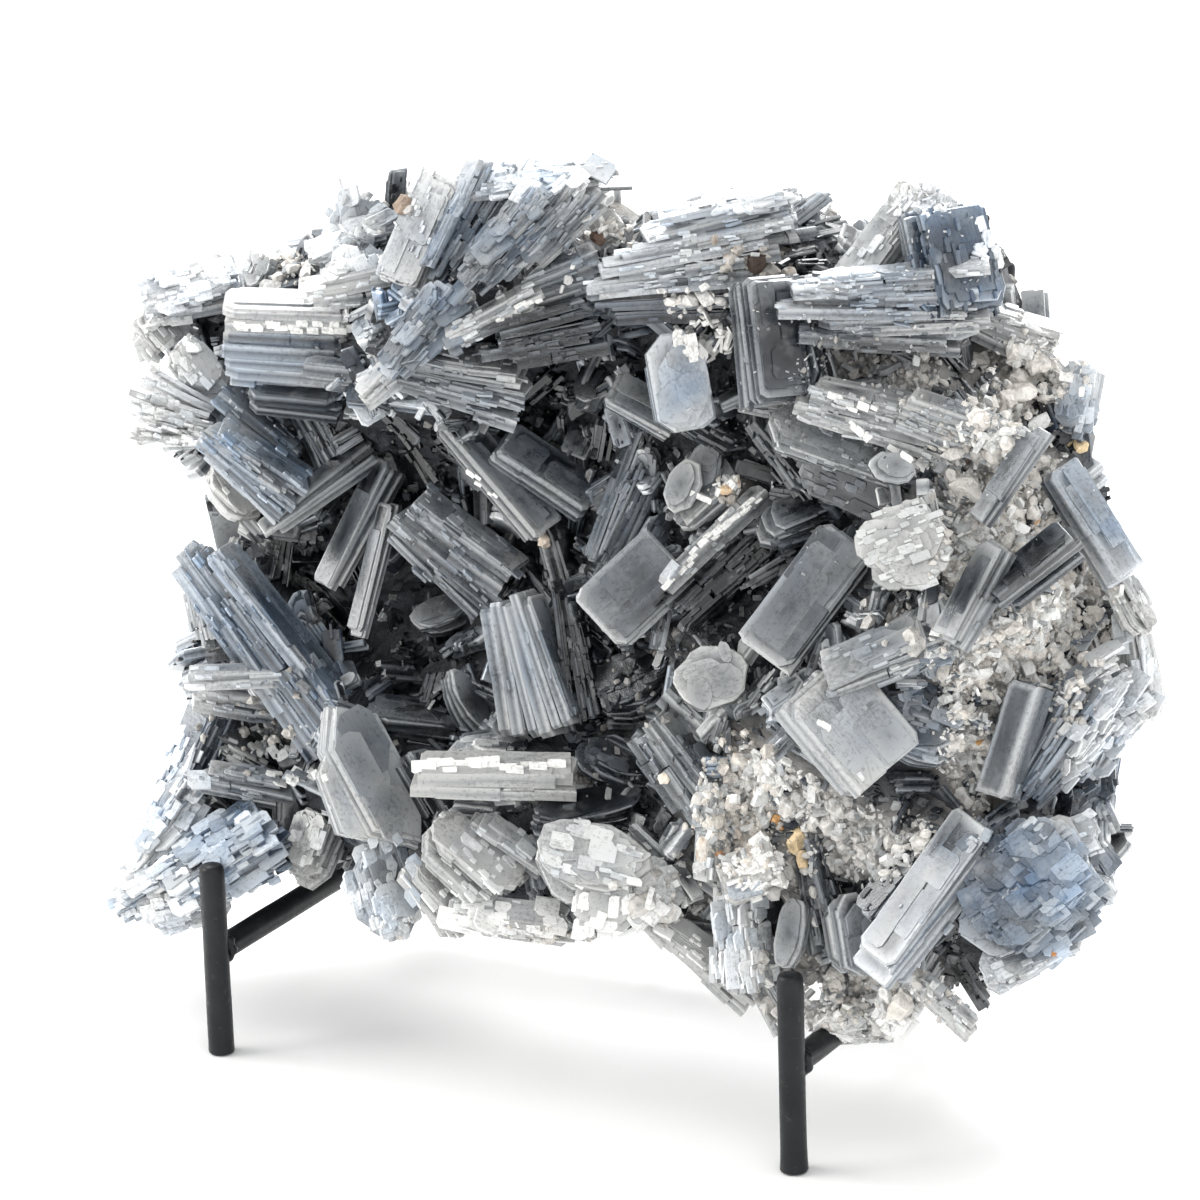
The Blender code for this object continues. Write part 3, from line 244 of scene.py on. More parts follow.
        ("left_hbar_b", 232, 700, 28, 84, 34, 26, 2, -12, 0, 55, 3, 0, "B", 0.46, 0.4, 0.8),
        ("left_steep", 194, 765, 24, 128, 50, 40, 4, 66, 0, 45, 10, 0, "B", 0.16, 0.9, 0.8),
        ("see_through", 265, 758, 34, 120, 60, 50, 5, -32, 0, 50, 14, 0, "B", 0.36, 0.2, 0.8),
        ("chevron", 241, 782, 20, 96, 40, 26, 3, -12, 0, 50, 6, 0, "H", 0.42, 0.3, 1),
        ("lobe_a", 164, 878, 12, 108, 66, 46, 5, 28, 0, 45, 12, 0, "H", 0.3, 1, 1),
        ("lobe_b", 222, 860, 14, 136, 80, 60, 6, 32, 0, 50, 14, 0, "H", 0.24, 1, 1),
        ("lobe_c", 184, 902, 10, 100, 50, 30, 3, 12, 0, 30, 10, 0, "H", 0.54, 0.7, 1),
        ("lobe_d", 168, 822, 16, 100, 50, 40, 4, 55, 0, 50, 12, 0, "H", 0.38, 0.9, 1),
        ("lobe_right", 314, 848, 22, 76, 56, 40, 3, 70, 0, 35, 10, 0, "H", 0.64, 0.1, 1),
        ("kite", 372, 778, 12, 172, 76, 30, 3, -62, 0, 34, 4, 0, "D", 0.62, 0.3, 0.3),
        ("kite_front", 352, 792, 8, 120, 60, 20, 2, -70, 0, 20, 3, 0, "D", 0.62, 0.3, 0.5),
        ("kite_low", 384, 890, 10, 100, 70, 46, 5, -72, 0, 40, 14, 0, "H", 0.52, 0.6, 1),
        ("kite_dark", 434, 802, 18, 104, 50, 36, 3, -60, 0, 50, 6, 0, "B", 0.14, 0.4, 1),
        ("shelf", 430, 727, 34, 150, 60, 40, 4, -8, 0, 60, 6, 0, "H", 0.36, 0.3, 1),
    ],
}
# rim of the body under the crystals: places in the picture with their distance behind the posts
RIM = [
    (175, 300, 56), (250, 285, 58), (330, 240, 56), (400, 205, 54), (470, 195, 54), (560, 195, 56), (600, 245, 56),
    (680, 225, 56), (780, 215, 58), (850, 260, 58), (905, 225, 60), (965, 240, 62), (1010, 320, 60), (1070, 390, 62),
    (1100, 480, 66), (1135, 590, 66), (1130, 690, 62), (1095, 770, 54), (1075, 860, 40), (1040, 940, 34),
    (950, 985, 24), (860, 1015, 20), (790, 975, 20), (690, 930, 20), (560, 912, 18), (430, 915, 20), (350, 870, 32),
    (270, 860, 30), (170, 880, 30), (160, 810, 34), (215, 730, 40), (215, 620, 42), (245, 520, 44), (200, 440, 44),
    (190, 370, 52),
]
# outline of the whole specimen in the picture
OUTLINE = [
    (135, 290), (160, 270), (235, 245), (262, 240), (310, 235), (345, 185), (400, 178), (425, 160), (470, 168),
    (520, 158), (590, 157), (612, 185), (600, 225), (640, 200), (700, 182), (790, 185), (810, 200), (812, 232),
    (845, 232), (890, 190), (930, 184), (965, 205), (990, 235), (1000, 270), (1040, 330), (1085, 358), (1099, 400),
    (1090, 450), (1130, 520), (1150, 580), (1163, 640), (1158, 720), (1110, 790), (1112, 860), (1110, 930),
    (1060, 990), (960, 1038), (870, 1048), (815, 1030), (770, 1010), (700, 960), (640, 945), (560, 940), (500, 945),
    (400, 945), (335, 890), (240, 900), (180, 935), (110, 905), (108, 875), (130, 820), (160, 760), (190, 710),
    (160, 660), (165, 580), (160, 555), (215, 530), (190, 500), (150, 450), (122, 440), (130, 380), (140, 330),
]
BODY_BACK, BODY_LEAN = 0.0712, 0.1131

# crystals are drawn at the tone of the ramp: 0 dark slate, 1 white
RAMP_T = np.array([0.0, .15, .3, .45, .6, .75, .9, 1.0])
RAMP_C = np.array([[.0030, .0036, .0044], [.0110, .0125, .0150], [.040, .044, .050], [.125, .134, .146], [.300, .318, .334],
                   [.56, .577, .588], [.84, .85, .853], [.96, .96, .958]])
BLUE = np.array([.50, .81, 1.25])
GREY = np.array([1.02, 1.01, .98])


def ramp(tone, blue):
    tone = np.clip(tone, 0, 1)
    rgb = np.stack([np.interp(tone, RAMP_T, RAMP_C[:, k]) for k in range(3)], 1)
    b = (np.asarray(blue) * (1 - .55 * tone))[:, None] if np.ndim(blue) else blue * (1 - .55 * tone)[:, None]
    return np.clip(rgb * (GREY * (1 - b) + BLUE * b), 0, 1)


class Heap:
    """Closed shells piled up for one piece, with their colour and the grain's own coordinates in mm."""

    def __init__(self):
        self.v, self.f, self.tone, self.blue, self.grain, self.rgb, self.n, self.faces = [], [], [], [], [], [], 0, 0

    def add(self, v, f, tone, blue, grain, rgb=None):
        self.v.append(v)
        self.f.append(f + self.n)
        self.tone.append(tone)
        self.blue.append(np.broadcast_to(blue, len(v)))
        self.grain.append(grain)
        self.rgb.append(np.full((len(v), 3), -1.0) if rgb is None else rgb)
        self.n += len(v)
        self.faces += len(f)

    def arrays(self):
        return np.concatenate(self.v), np.concatenate(self.f)


TOPOLOGY = {}


def topology(n, levels, fan):
    """Triangles of a prism with that many sides and rings; its ends are fans about a middle point or from a corner."""
    key = (n, levels, fan)
    if key not in TOPOLOGY:
        i = np.arange(n)
        j = (i + 1) % n
        t = []
        for r in range(levels - 1):
            a, b, c, d = r * n + i, r * n + j, (r + 1) * n + j, (r + 1) * n + i
            t += [np.stack([a, b, c], 1), np.stack([a, c, d], 1)]
        low, high = levels * n, levels * n + 1
        top = (levels - 1) * n
        k = np.arange(1, n - 1)
        if fan:
            t += [np.stack([k + 1, k, k * 0], 1), np.stack([top + k, top + k + 1, k * 0 + top], 1)]
        else:
            t += [np.stack([j, i, np.full(n, low)], 1), np.stack([top + i, top + j, np.full(n, high)], 1)]
        TOPOLOGY[key] = np.concatenate(t)
    return TOPOLOGY[key]


def prism(heap, place, shape, z0, z1, tone, blue, edge=.26, chamfer=.00022, inset=None, bend=0.0, broad=True, glow=None, thin=False,
          fan=False):
    """One crystal: its outline raised from z0 to z1 with bevelled rims, paler along the edges as a painted highlight.
    place is 3x4.

    glow is (offset, pivot, reach, amount): how much paler the crystal gets away from the root of its book, a painted
    glow of light through its thin tips."""
    n = len(shape)
    lo, hi = shape.min(0), shape.max(0)
    centre, size = (lo + hi) / 2, np.maximum(hi - lo, 1e-5)
    c = min(chamfer, (z1 - z0) * .3, min(size) * .2)
    inset = min(size) * .24 if inset is None else inset
    if thin:
        rings = [(z0, 0, .4), (z1, c, .7)]
    else:
        rings = [(z0, 0, .6)]
        if z1 - z0 > .0012:
            rings.append(((z0 + z1) / 2, 0, -.1))
        rings += [(z1 - c, 0, 1.0), (z1, c, .85)]
        if broad:
            rings.append((z1, inset, -.1))
    parts, rims = [], []
    for z, back, rim in rings:
        xy = centre + (shape - centre) * (1 - 2 * back / size)
        parts.append(np.column_stack([xy, np.full(n, z)]))
        rims.append(np.full(n, rim))
    if not fan:
        parts.append(np.array([[centre[0], centre[1], z0], [centre[0], centre[1], z1]]))
        rims.append(np.array([.1, .1 if thin else -.3]))
    local = np.concatenate(parts)
    # painted highlight: edge sets how much paler the rims and bevels are drawn; the middle of the broad face is drawn
    # darker
    tones = tone - .05 + 1.4 * edge * np.concatenate(rims)
    blues = blue
    if glow:
        offset, pivot, reach, amount = glow
        # painted light: paler and less blue towards the thin tips, for light shining through them
        far = np.clip(np.abs(local[:, 0] + offset - pivot) / reach, 0, 1) ** 1.6
        tones = tones + amount * (far - .4)
        blues = blue * (1.2 - .5 * far)
    grain = local * 1000 + RNG.uniform(-40, 40, 3)
    if bend:
        local[:, 2] += bend * local[:, 0] ** 2
    heap.add(local @ place[:, :3].T + place[:, 3], topology(n, len(rings), fan), tones, blues, grain)


def stepped(p, q, depth, most):
    """Points from p to q with small steps inward, to the left of the way, up to that depth."""
    p, q = np.array(p), np.array(q)
    d = q - p
    far = math.hypot(*d)
    pts = [p]
    if far < .0032 or depth <= 0:
        return pts
    inward = np.array([-d[1], d[0]]) / far
    off = 0.0
    for t in np.sort(RNG.uniform(.12, .88, RNG.integers(0, most + 1))):
        new = RNG.uniform(0, depth)
        pts += [p + d * t + inward * off, p + d * min(t + .02, 1) + inward * new]
        off = new
    return pts


def outline(kind, length, width, ragged):
    """Outline of a tabular crystal, anticlockwise: cut corners and growth steps along its edges."""
    if kind == "R":
        n = int(RNG.integers(14, 20))
        a = (np.arange(n) + RNG.uniform(-.3, .3, n)) / n * 2 * math.pi
        lobes, phase = RNG.integers(4, 8), RNG.uniform(0, 6)
        r = (1 + ragged * RNG.uniform(-.05, .04, n)) * (.92 + .10 * np.abs(np.sin(a * lobes / 2 + phase)))
        return np.stack([np.cos(a) * r * length / 2, np.sin(a) * r * width / 2], 1)
    if kind == "D":
        corners = [(-.5, -.1), (-.28, -.5), (.30, -.5), (.5, .12), (.26, .5), (-.34, .5)]
        corners = [(x * length, y * width) for x, y in corners]
    else:
        hl, hw = length / 2, width / 2
        cut = RNG.uniform(.06, .34, 4) * hw if kind == "B" else RNG.uniform(.40, .95, 4) * hw
        run = np.minimum(cut * RNG.uniform(.5, 1.3, 4), .3 * length)
        slant = RNG.uniform(-.08, .08) * width
        corners = [(-hl + run[0] - slant, -hw), (hl - run[1] - slant, -hw), (hl, -hw + cut[1]), (hl, hw - cut[2]),
                   (hl - run[2] + slant, hw), (-hl + run[3] + slant, hw), (-hl, hw - cut[3]), (-hl, -hw + cut[0])]
    pts = []
    for k, p in enumerate(corners):
        pts += stepped(p, corners[(k + 1) % len(corners)], .07 * width * ragged if ragged > .3 else .02 * width, 2)
    return np.array(pts)


def axes(right, up, front, direction, lean, turn):
    """Length, width and normal of a book seen along -front, with right and up as its picture's axes."""
    d, l, t = (math.radians(k) for k in (direction, lean, turn))
    flat = math.cos(d) * right + math.sin(d) * up
    side = -math.sin(d) * right + math.cos(d) * up
    along = math.cos(l) * flat + math.sin(l) * front
    toward = math.cos(l) * front - math.sin(l) * flat
    normal = math.cos(t) * toward + math.sin(t) * side
    return along, normal.cross(along), normal


def facing(azimuth, elevation):
    a, e = math.radians(azimuth), math.radians(elevation)
    front = Vector((math.sin(a) * math.cos(e), -math.cos(a) * math.cos(e), math.sin(e)))
    right = Vector((0, 0, 1)).cross(front).normalized()
    return right, front.cross(right), front


def as_matrix(origin, x, y, z):
    m = Matrix((x, y, z)).transposed().to_4x4()
    m.translation = origin
    return m


def rows(m):
    return np.array(m)[:3]


GROWTH = []    # heap, its first and last face, frame, paleness, blueness, raggedness of each book


def book(heap, base, length, width, stack, count, splay, start, kind, tone, blue, ragged, turn=50):
    """A book of crystals: base is its 4x4 frame. They stand face to face along z, and fan by splay degrees."""
    first = heap.faces
    share = RNG.uniform(.6, 1.4, count)
    share /= share.sum()
    spread = length * (0.5 + abs(start)) * math.radians(splay)
    pack = max(.5, 1 - spread * .4 / max(stack, 1e-4)) if splay > 8 and count > 1 else 1.0
    pivot, reach = start * length, length * (.5 + abs(start))
    z = -.5
    for i in range(count):
        k = z + share[i] / 2
        z += share[i]
        thick = stack * pack * share[i]
        a = math.radians(-splay * k + RNG.normal(0, .8) * ragged)
        long = length * (1 - .22 * ragged * RNG.random() - .10 * abs(k))
        wide = width * (1 - .24 * ragged * RNG.random() - .18 * abs(k))
        shift = Vector((RNG.normal(0, .05) * ragged * length, RNG.normal(0, .05) * ragged * width, k * stack * pack))
        m = (base @ Matrix.Translation((pivot, 0, 0)) @ Matrix.Translation(shift) @ Matrix.Rotation(a, 4, "Y")
             @ Matrix.Rotation(math.radians(RNG.normal(0, 1.3) * ragged), 4, "Z") @ Matrix.Translation((-pivot, 0, 0)))
        shade = tone + RNG.normal(0, .04)
        bend = (k * splay / 90) / max(length, .004) * .35 if kind != "D" else 0
        # painted light: the tips of the book are drawn paler, as light shining through them
        glow = (0.0, pivot, reach, .26 if splay > 5 else .12)
        if kind in "BH" and abs(turn) > 42 and ragged > .5 and RNG.random() < .8:
            bricks(heap, m, long, wide, thick, shade, blue, ragged, bend, glow)
        else:
            slab(heap, m, kind, long, wide, thick, shade, blue, ragged, bend, glow)
        if i == count - 1 and width > .007:
            terraces(heap, m, kind, long, wide, thick, shade, blue, ragged, bend, glow)
    if kind == "R" and ragged > .7 and length > .009:
        petals(heap, base @ Matrix.Translation((0, 0, stack * .42)), length, width, tone, blue)
    GROWTH.append((heap, first, heap.faces, base, tone, blue, ragged))


def slab(heap, m, kind, length, width, thick, tone, blue, ragged, bend, glow):
    """One crystal with thinner leaves grown on its face."""
    leaves = thick * RNG.uniform(.08, .16, RNG.integers(1, 4) if thick > .0012 and ragged > .55 else RNG.integers(0, 2))
    top = thick * .52 - leaves.sum()
    shape = outline(kind, length, width, ragged)
    prism(heap, rows(m), shape, -thick * .52, top, tone, blue, .30, min(.0005, thick * .24) if ragged < .5 else .00026, bend=bend,
          glow=glow)
    for t in leaves:
        l, w = length * RNG.uniform(.70, .98), width * RNG.uniform(.62, .97)
        p = m @ Matrix.Translation((RNG.uniform(-1, 1) * (length - l) / 2, RNG.uniform(-1, 1) * (width - w) / 2, 0))
        prism(heap, rows(p), outline(kind, l, w, ragged), top - t * .3, top + t, tone + RNG.normal(0, .04), blue, .24, .00012, bend=bend,
              glow=glow, thin=True)
        top += t


def bricks(heap, m, length, width, thick, tone, blue, ragged, bend, glow):
    """One crystal layer as a row of blocks grown end to end, each a little out of line."""
    x, end = -length / 2, length / 2
    first = True
    while x < end - .0004:
        seg = min(RNG.uniform(.0045, .0120) * RNG.choice([1, 1, 2.0]), end - x)
        if end - x - seg < .0012:
            seg = end - x
        last = x + seg >= end
        w = width * (1 - .14 * ragged * RNG.random()) * (.76 if (first or last) and RNG.random() < .6 else 1)
        cx, hs, hw = x + seg / 2, seg / 2 * 1.05, w / 2
        a, b = RNG.uniform(0, .5, 2) * min(seg, w)
        c = RNG.uniform(-.08, .08) * w
        shape = np.array([(hs + c, hw - a * (.8 if last else .15)), (hs - a * (.8 if last else .1) + c, hw), (-hs + b * (.8 if first else .1) + c, hw),
                          (-hs + c, hw - b * (.8 if first else .15)), (-hs - c, -hw), (hs - c, -hw)])
        t = thick * RNG.uniform(.44, .56)
        slope = 2 * bend * cx
        p = (m @ Matrix.Translation((cx, RNG.normal(0, .03) * width * ragged, bend * cx * cx + RNG.normal(0, .06) * thick))
             @ Matrix.Rotation(-math.atan(slope) + math.radians(RNG.normal(0, .9) * ragged), 4, "Y"))
        shade = tone + RNG.normal(0, .045)
        g = (cx, *glow[1:])
        leaf = t * RNG.uniform(.2, .5) if RNG.random() < .6 and thick > .0009 else 0
        prism(heap, rows(p), shape, -t, t - leaf, shade, blue, .26, .00020, broad=False, glow=g)
        if leaf:
            q = p @ Matrix.Translation((RNG.normal(0, .06) * seg, RNG.uniform(-.05, .05) * w, 0))
            prism(heap, rows(q), shape * RNG.uniform(.84, 1.0, 2), t - leaf * 1.1, t, shade + RNG.normal(.02, .05), blue, .26, .00012, glow=g,
                  thin=True)
        x += seg
        first = False


def terraces(heap, m, kind, length, width, thick, tone, blue, ragged, bend, glow):
    """Thin growth steps on the broad face of a book's outermost crystal."""
    for _ in range(int(min(6, 1 + length * width * 2.2e4 + RNG.integers(0, 3)))):
        l, w = length * RNG.uniform(.18, .7), width * RNG.uniform(.22, .75)
        ox = RNG.choice([-1, 1]) * (length - l) / 2 * RNG.uniform(.3, .98)
        oy = RNG.choice([-1, 1]) * (width - w) / 2 * RNG.uniform(.3, .98)
        p = m @ Matrix.Translation((ox, oy, bend * ox * ox)) @ Matrix.Rotation(math.radians(RNG.normal(0, 1.5)), 4, "Z")
        g = (ox, *glow[1:])
        prism(heap, rows(p), outline("H" if kind == "D" else kind, l, w, ragged), thick * .3, thick * .52 + RNG.uniform(.00008, .0004),
              tone + RNG.normal(.02, .04), blue, .10 + .12 * min(ragged, 1), .00012, glow=g, thin=True)


def petals(heap, m, length, width, tone, blue):
    """Overlapping scales round the rim of a rosette."""
    n = int(RNG.integers(8, 11))
    for ring, far, n in ((0, .62, n), (1, .36, n - 3), (2, .10, 2)):
        for i in range(n):
            a = 2 * math.pi * (i + RNG.uniform(-.3, .3)) / n
            l, w = length * RNG.uniform(.40, .62), width * RNG.uniform(.40, .64)
            p = (m @ Matrix.Translation((math.cos(a) * length / 2 * far, math.sin(a) * width / 2 * far, .0003 + ring * .0004))
                 @ Matrix.Rotation(a, 4, "Z") @ Matrix.Rotation(math.radians(RNG.uniform(-2, 7)), 4, "Y")
                 @ Matrix.Rotation(math.radians(RNG.normal(0, 4)), 4, "X"))
            prism(heap, rows(p), outline("R", l, w, .8), -.0005, .0002, tone + RNG.normal(.02, .05), blue, .24, .00012, thin=True)


# ---------------------------------------------------------------- body under the crystals
FLAT_BOOKS = [b for group in BOOKS.values() for b in group]
BOOK_UV = np.array([(b[1], b[2]) for b in FLAT_BOOKS], float)
BOOK_Y = np.array([b[3] for b in FLAT_BOOKS], float)
BOOK_TONE = np.array([b[14] for b in FLAT_BOOKS], float)


def front_depth(u, v, width=55.0, behind=5.0):
    w = np.exp(-((BOOK_UV[:, 0] - u) ** 2 + (BOOK_UV[:, 1] - v) ** 2) / width ** 2)
    return (float((w * (BOOK_Y + behind)).sum()) + 1e-4 * 45) / (float(w.sum()) + 1e-4)


# places of bare matrix in the picture: u, v, half-width, half-height, paleness, warmth, cover
MATRIX = [
    (1030, 372, 50, 34, .86, .5, 1.0), (1003, 430, 42, 40, .74, .5, .8), (960, 470, 40, 40, .6, .4, .6), (1020, 500, 60, 50, .66, .5, .8),
    (975, 560, 40, 60, .66, .5, .8), (1040, 600, 66, 50, .70, .6, .9), (1000, 650, 60, 46, .72, .6, .9), (1075, 650, 40, 50, .72, .5, .7),
    (975, 735, 34, 74, .76, .5, 1.0), (1050, 700, 40, 30, .62, .5, .6), (905, 620, 40, 34, .55, .3, .5), (1060, 560, 50, 40, .62, .6, .7),
    (760, 262, 50, 30, .5, .8, .5), (830, 362, 60, 30, .42, .3, .6), (905, 380, 50, 26, .5, .3, .6), (700, 300, 40, 16, .8, .1, .6),
    (292, 268, 26, 18, .8, .4, .8), (400, 222, 24, 26, .72, .2, .5), (610, 232, 26, 20, .78, .5, .7),
    (725, 488, 20, 16, .74, .9, .8), (740, 790, 40, 50, .74, .7, .9), (765, 780, 36, 20, .9, .1, 1.0), (735, 835, 36, 40, .66, .9, .8),
    (800, 880, 26, 60, .5, .3, .6), (870, 845, 60, 34, .62, .2, .9), (930, 850, 40, 24, .7, .3, .8), (870, 1000, 76, 40, .66, .5, 1.0),
    (905, 1022, 40, 22, .4, 1.0, .8), (800, 985, 40, 34, .62, .3, .8), (250, 730, 44, 30, .5, .5, .4), (290, 700, 30, 30, .4, .6, .3),
    (560, 785, 60, 20, .45, .2, .6), (412, 936, 24, 12, .8, .6, .8), (560, 938, 60, 12, .8, .5, .7), (650, 700, 60, 60, .28, .2, .4),
    (1052, 952, 14, 10, .5, 1.0, 1.0), (820, 806, 40, 26, .7, .2, .7), (660, 900, 60, 40, .62, .3, .4),
]
MZ = np.array(MATRIX)


def matrix_zone(u, v):
    """(strength, paleness, warmth) of the bare matrix at places in the picture, arrays in and out."""
    d = ((u[:, None] - MZ[None, :, 0]) / MZ[None, :, 2]) ** 2 + ((v[:, None] - MZ[None, :, 1]) / MZ[None, :, 3]) ** 2
    w = np.exp(-d * 1.1) * MZ[None, :, 6]
    s = w.sum(1) + 1e-6
    return np.clip(w.max(1) * 1.3, 0, 1), (w * MZ[None, :, 4]).sum(1) / s, (w * MZ[None, :, 5]).sum(1) / s


def matrix_colour(pale, warm, jitter):
    """Beige-white crumbly matrix, with rusty places where warm nears 1."""
    pale = np.clip(pale + .05 + jitter[:, 0] * .14, 0, 1)[:, None]
    warm = np.clip(np.minimum(warm, .86) + jitter[:, 1] * .26, 0, 1.2)[:, None]
    base = pale ** 1.15 * (np.array([.95, .93, .90]) * (1 - warm * .4) + np.array([.92, .78, .60]) * warm * .4)
    rust = np.clip((warm - .98) * 4, 0, 1)
    return np.clip(base * (1 - rust) + np.array([.58, .30, .13]) * rust * (.5 + pale * .6), 0.01, 1)


def body(around=260, rings=64):
    """High-resolution body: rim from RIM, front just behind the books, leaning back face, all broken up."""
    n = len(RIM)
    t = np.arange(around) / around * n
    rim = np.array(RIM, float)

    def loop(k):
        i = np.floor(t).astype(int) % n
        f = t - np.floor(t)
        return rim[i, k] * (1 - f) + rim[(i + 1) % n, k] * f

    ru, rv, ry = loop(0), loop(1), loop(2)
    cu, cv = rim[:, 0].mean(), rim[:, 1].mean()
    rim_points = [at(ru[k], rv[k], ry[k]) for k in range(around)]
    middle = sum((at(*p) for p in RIM), Vector()) / n
    verts, uv, side = [], [], []
    for r in range(rings):
        s = 1 - (r / rings) ** 1.0
        for k in range(around):
            u, v = cu + (ru[k] - cu) * s, cv + (rv[k] - cv) * s
            depth = front_depth(u, v)
            depth += (ry[k] - depth) * max(0.0, s - .80) / .2 * (1.0 if s > .8 else 0)
            p = at(u, v, depth)
            verts.append(p)
            side.append(0)
    verts.append(at(cu, cv, front_depth(cu, cv)))
    side.append(0)
    tip_front = len(verts) - 1
    start_back = len(verts)
    for r in range(1, rings):
        s = 1 - r / rings
        for k in range(around):
            p = middle + (rim_points[k] - middle) * s
            plane = BODY_BACK + BODY_LEAN * (p.z - ARM_Z)
            y = plane - .0022 - .012 * max(0, s - .6) / .4
            verts.append(Vector((p.x, y, p.z)))
            side.append(1)
    verts.append(Vector((middle.x, BODY_BACK + BODY_LEAN * (middle.z - ARM_Z) - .0022, middle.z)))
    side.append(1)
    tip_back = len(verts) - 1
    faces = []
    i = np.arange(around)
    j = (i + 1) % around
    for r in range(rings - 1):
        a, b = r * around, (r + 1) * around
        faces += [np.stack([a + i, a + j, b + j], 1), np.stack([a + i, b + j, b + i], 1)]
    last = (rings - 1) * around
    faces.append(np.stack([last + i, last + j, np.full(around, tip_front)], 1))
    a, b = 0, start_back
    faces += [np.stack([a + j, a + i, b + i], 1), np.stack([a + j, b + i, b + j], 1)]
    for r in range(rings - 2):
        a, b = start_back + r * around, start_back + (r + 1) * around
        faces += [np.stack([a + j, a + i, b + i], 1), np.stack([a + j, b + i, b + j], 1)]
    last = start_back + (rings - 2) * around
    faces.append(np.stack([last + j, last + i, np.full(around, tip_back)], 1))
    faces = np.concatenate(faces)[:, ::-1]
    side = np.array(side)
    out = np.empty((len(verts), 3))
    for q, p in enumerate(verts):
        big = noise.noise_vector(p * 90)
        mid = noise.noise_vector(p * 260)
        small = noise.noise_vector(p * 800)
        step = noise.cell_vector(p * 230) - Vector((.5, .5, .5))
        amp = 1.0
        w = p + big * .0016 * amp + mid * .0011 + small * .0006 + step * .0012
        if side[q]:
            w.y = min(w.y, p.y + .001) - .0050 * max(0.0, noise.noise(p * 110)) - .0030 * abs(noise.noise(p * 330))
        out[q] = w
    return out, faces, side


# ---------------------------------------------------------------- tone by place: painted shade in recesses, painted light at the outline
def grid_front():
    """Mean front of the books on a grid over the picture, to tell how deep a point lies behind its neighbours, for the
    painted shade in recesses.
    """
    gu, gv = np.arange(60, 1221, 20), np.arange(100, 1121, 20)
    g = np.empty((len(gv), len(gu)))
    for a, v in enumerate(gv):
        for b, u in enumerate(gu):
            w = np.exp(-((BOOK_UV[:, 0] - u) ** 2 + (BOOK_UV[:, 1] - v) ** 2) / 95.0 ** 2)
            g[a, b] = ((w * BOOK_Y).sum() + 1e-5 * 40) / (w.sum() + 1e-5)
    return gu, gv, g


GU, GV, GRID = grid_front()


def recess_shade_depth(p, uv):
    a = np.clip((uv[:, 1] - GV[0]) / 20, 0, len(GV) - 1.001)
    b = np.clip((uv[:, 0] - GU[0]) / 20, 0, len(GU) - 1.001)
    i, j = a.astype(int), b.astype(int)
    fa, fb = a - i, b - j
    front = (GRID[i, j] * (1 - fa) * (1 - fb) + GRID[i + 1, j] * fa * (1 - fb) + GRID[i, j + 1] * (1 - fa) * fb
             + GRID[i + 1, j + 1] * fa * fb)
    return np.clip((p[:, 1] * 1000 - front - 1) / 12, -.6, 1)


def outline_light_nearness(uv):
    """1 at the outline of the specimen in the picture, falling off inside it: where light is painted on the thin outer
    crystals.
    """
    pts = np.array(OUTLINE, float)
    best = np.full(len(uv), 1e9)
    for k in range(len(pts)):
        a, b = pts[k], pts[(k + 1) % len(pts)]
        ab = b - a
        t = np.clip(((uv - a) @ ab) / (ab @ ab), 0, 1)
        best = np.minimum(best, np.hypot(*(uv - a - t[:, None] * ab).T))
    return np.exp(-best / 42)


def inside(u, v, pts=OUTLINE):
    hit = False
    for k in range(len(pts)):
        (x0, y0), (x1, y1) = pts[k], pts[(k + 1) % len(pts)]
        if (y0 > v) != (y1 > v) and u < (x1 - x0) * (v - y0) / (y1 - y0) + x0:
            hit = not hit
    return hit


def make_mesh(name, v, f, colour, grain=None, smooth=False):
    mesh = bpy.data.meshes.new(name)
    mesh.vertices.add(len(v))
    mesh.vertices.foreach_set("co", v.astype(np.float32).ravel())
    mesh.loops.add(f.size)
    mesh.loops.foreach_set("vertex_index", f.astype(np.int32).ravel())
    mesh.polygons.add(len(f))
    mesh.polygons.foreach_set("loop_start", np.arange(0, f.size, 3, dtype=np.int32))
    mesh.update(calc_edges=True)
    mesh.shade_flat()
    tint = mesh.color_attributes.new(name="tint", type="FLOAT_COLOR", domain="POINT")
    rgba = np.ones((len(v), 4), np.float32)
    rgba[:, :3] = colour
    tint.data.foreach_set("color", rgba.ravel())
    if grain is not None:
        g = mesh.attributes.new("grain", "FLOAT_VECTOR", "POINT")
        g.data.foreach_set("vector", grain.astype(np.float32).ravel())
    if smooth:
        mesh.shade_smooth()
    mesh.update()
    return mesh


def add_piece(name, mesh, mat, replaced=None):
    mesh.materials.append(mat)
    mesh.transform(Matrix.Translation(SHIFT))
    o = bpy.data.objects.new(name, mesh)
    bpy.context.scene.collection.objects.link(o)
    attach(o, "root")
    if replaced:
        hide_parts(*([replaced] if isinstance(replaced, str) else replaced))
    return o


def heap_piece(name, heap, mat, front=True, replaced="barite_cluster"):
    v, f = heap.arrays()
    tone, blue, rgb = np.concatenate(heap.tone), np.concatenate(heap.blue), np.concatenate(heap.rgb)
    uv = picture(v)
    # painted shade: darker the deeper a point lies behind the books around it
    if front:
        tone = tone - .40 * np.clip(recess_shade_depth(v, uv), -.25, 1)
    a, b = uv[:, 0], uv[:, 1]
    drift = np.sin(a / 17 + 1.6 * np.sin(b / 23)) * np.sin(b / 14 + 1.9 * np.sin(a / 29 + 1))
    blue = blue * (.66 + .50 * drift)
    # painted light: paler near the outline of the specimen, where the bright backdrop shows through the thin outer
    # crystals
    tone = tone + .34 * outline_light_nearness(uv)
    colour = np.where(rgb[:, :1] < 0, ramp(tone, blue), rgb)
    return add_piece(name, make_mesh(name, v, f, colour, np.concatenate(heap.grain)), mat, replaced)


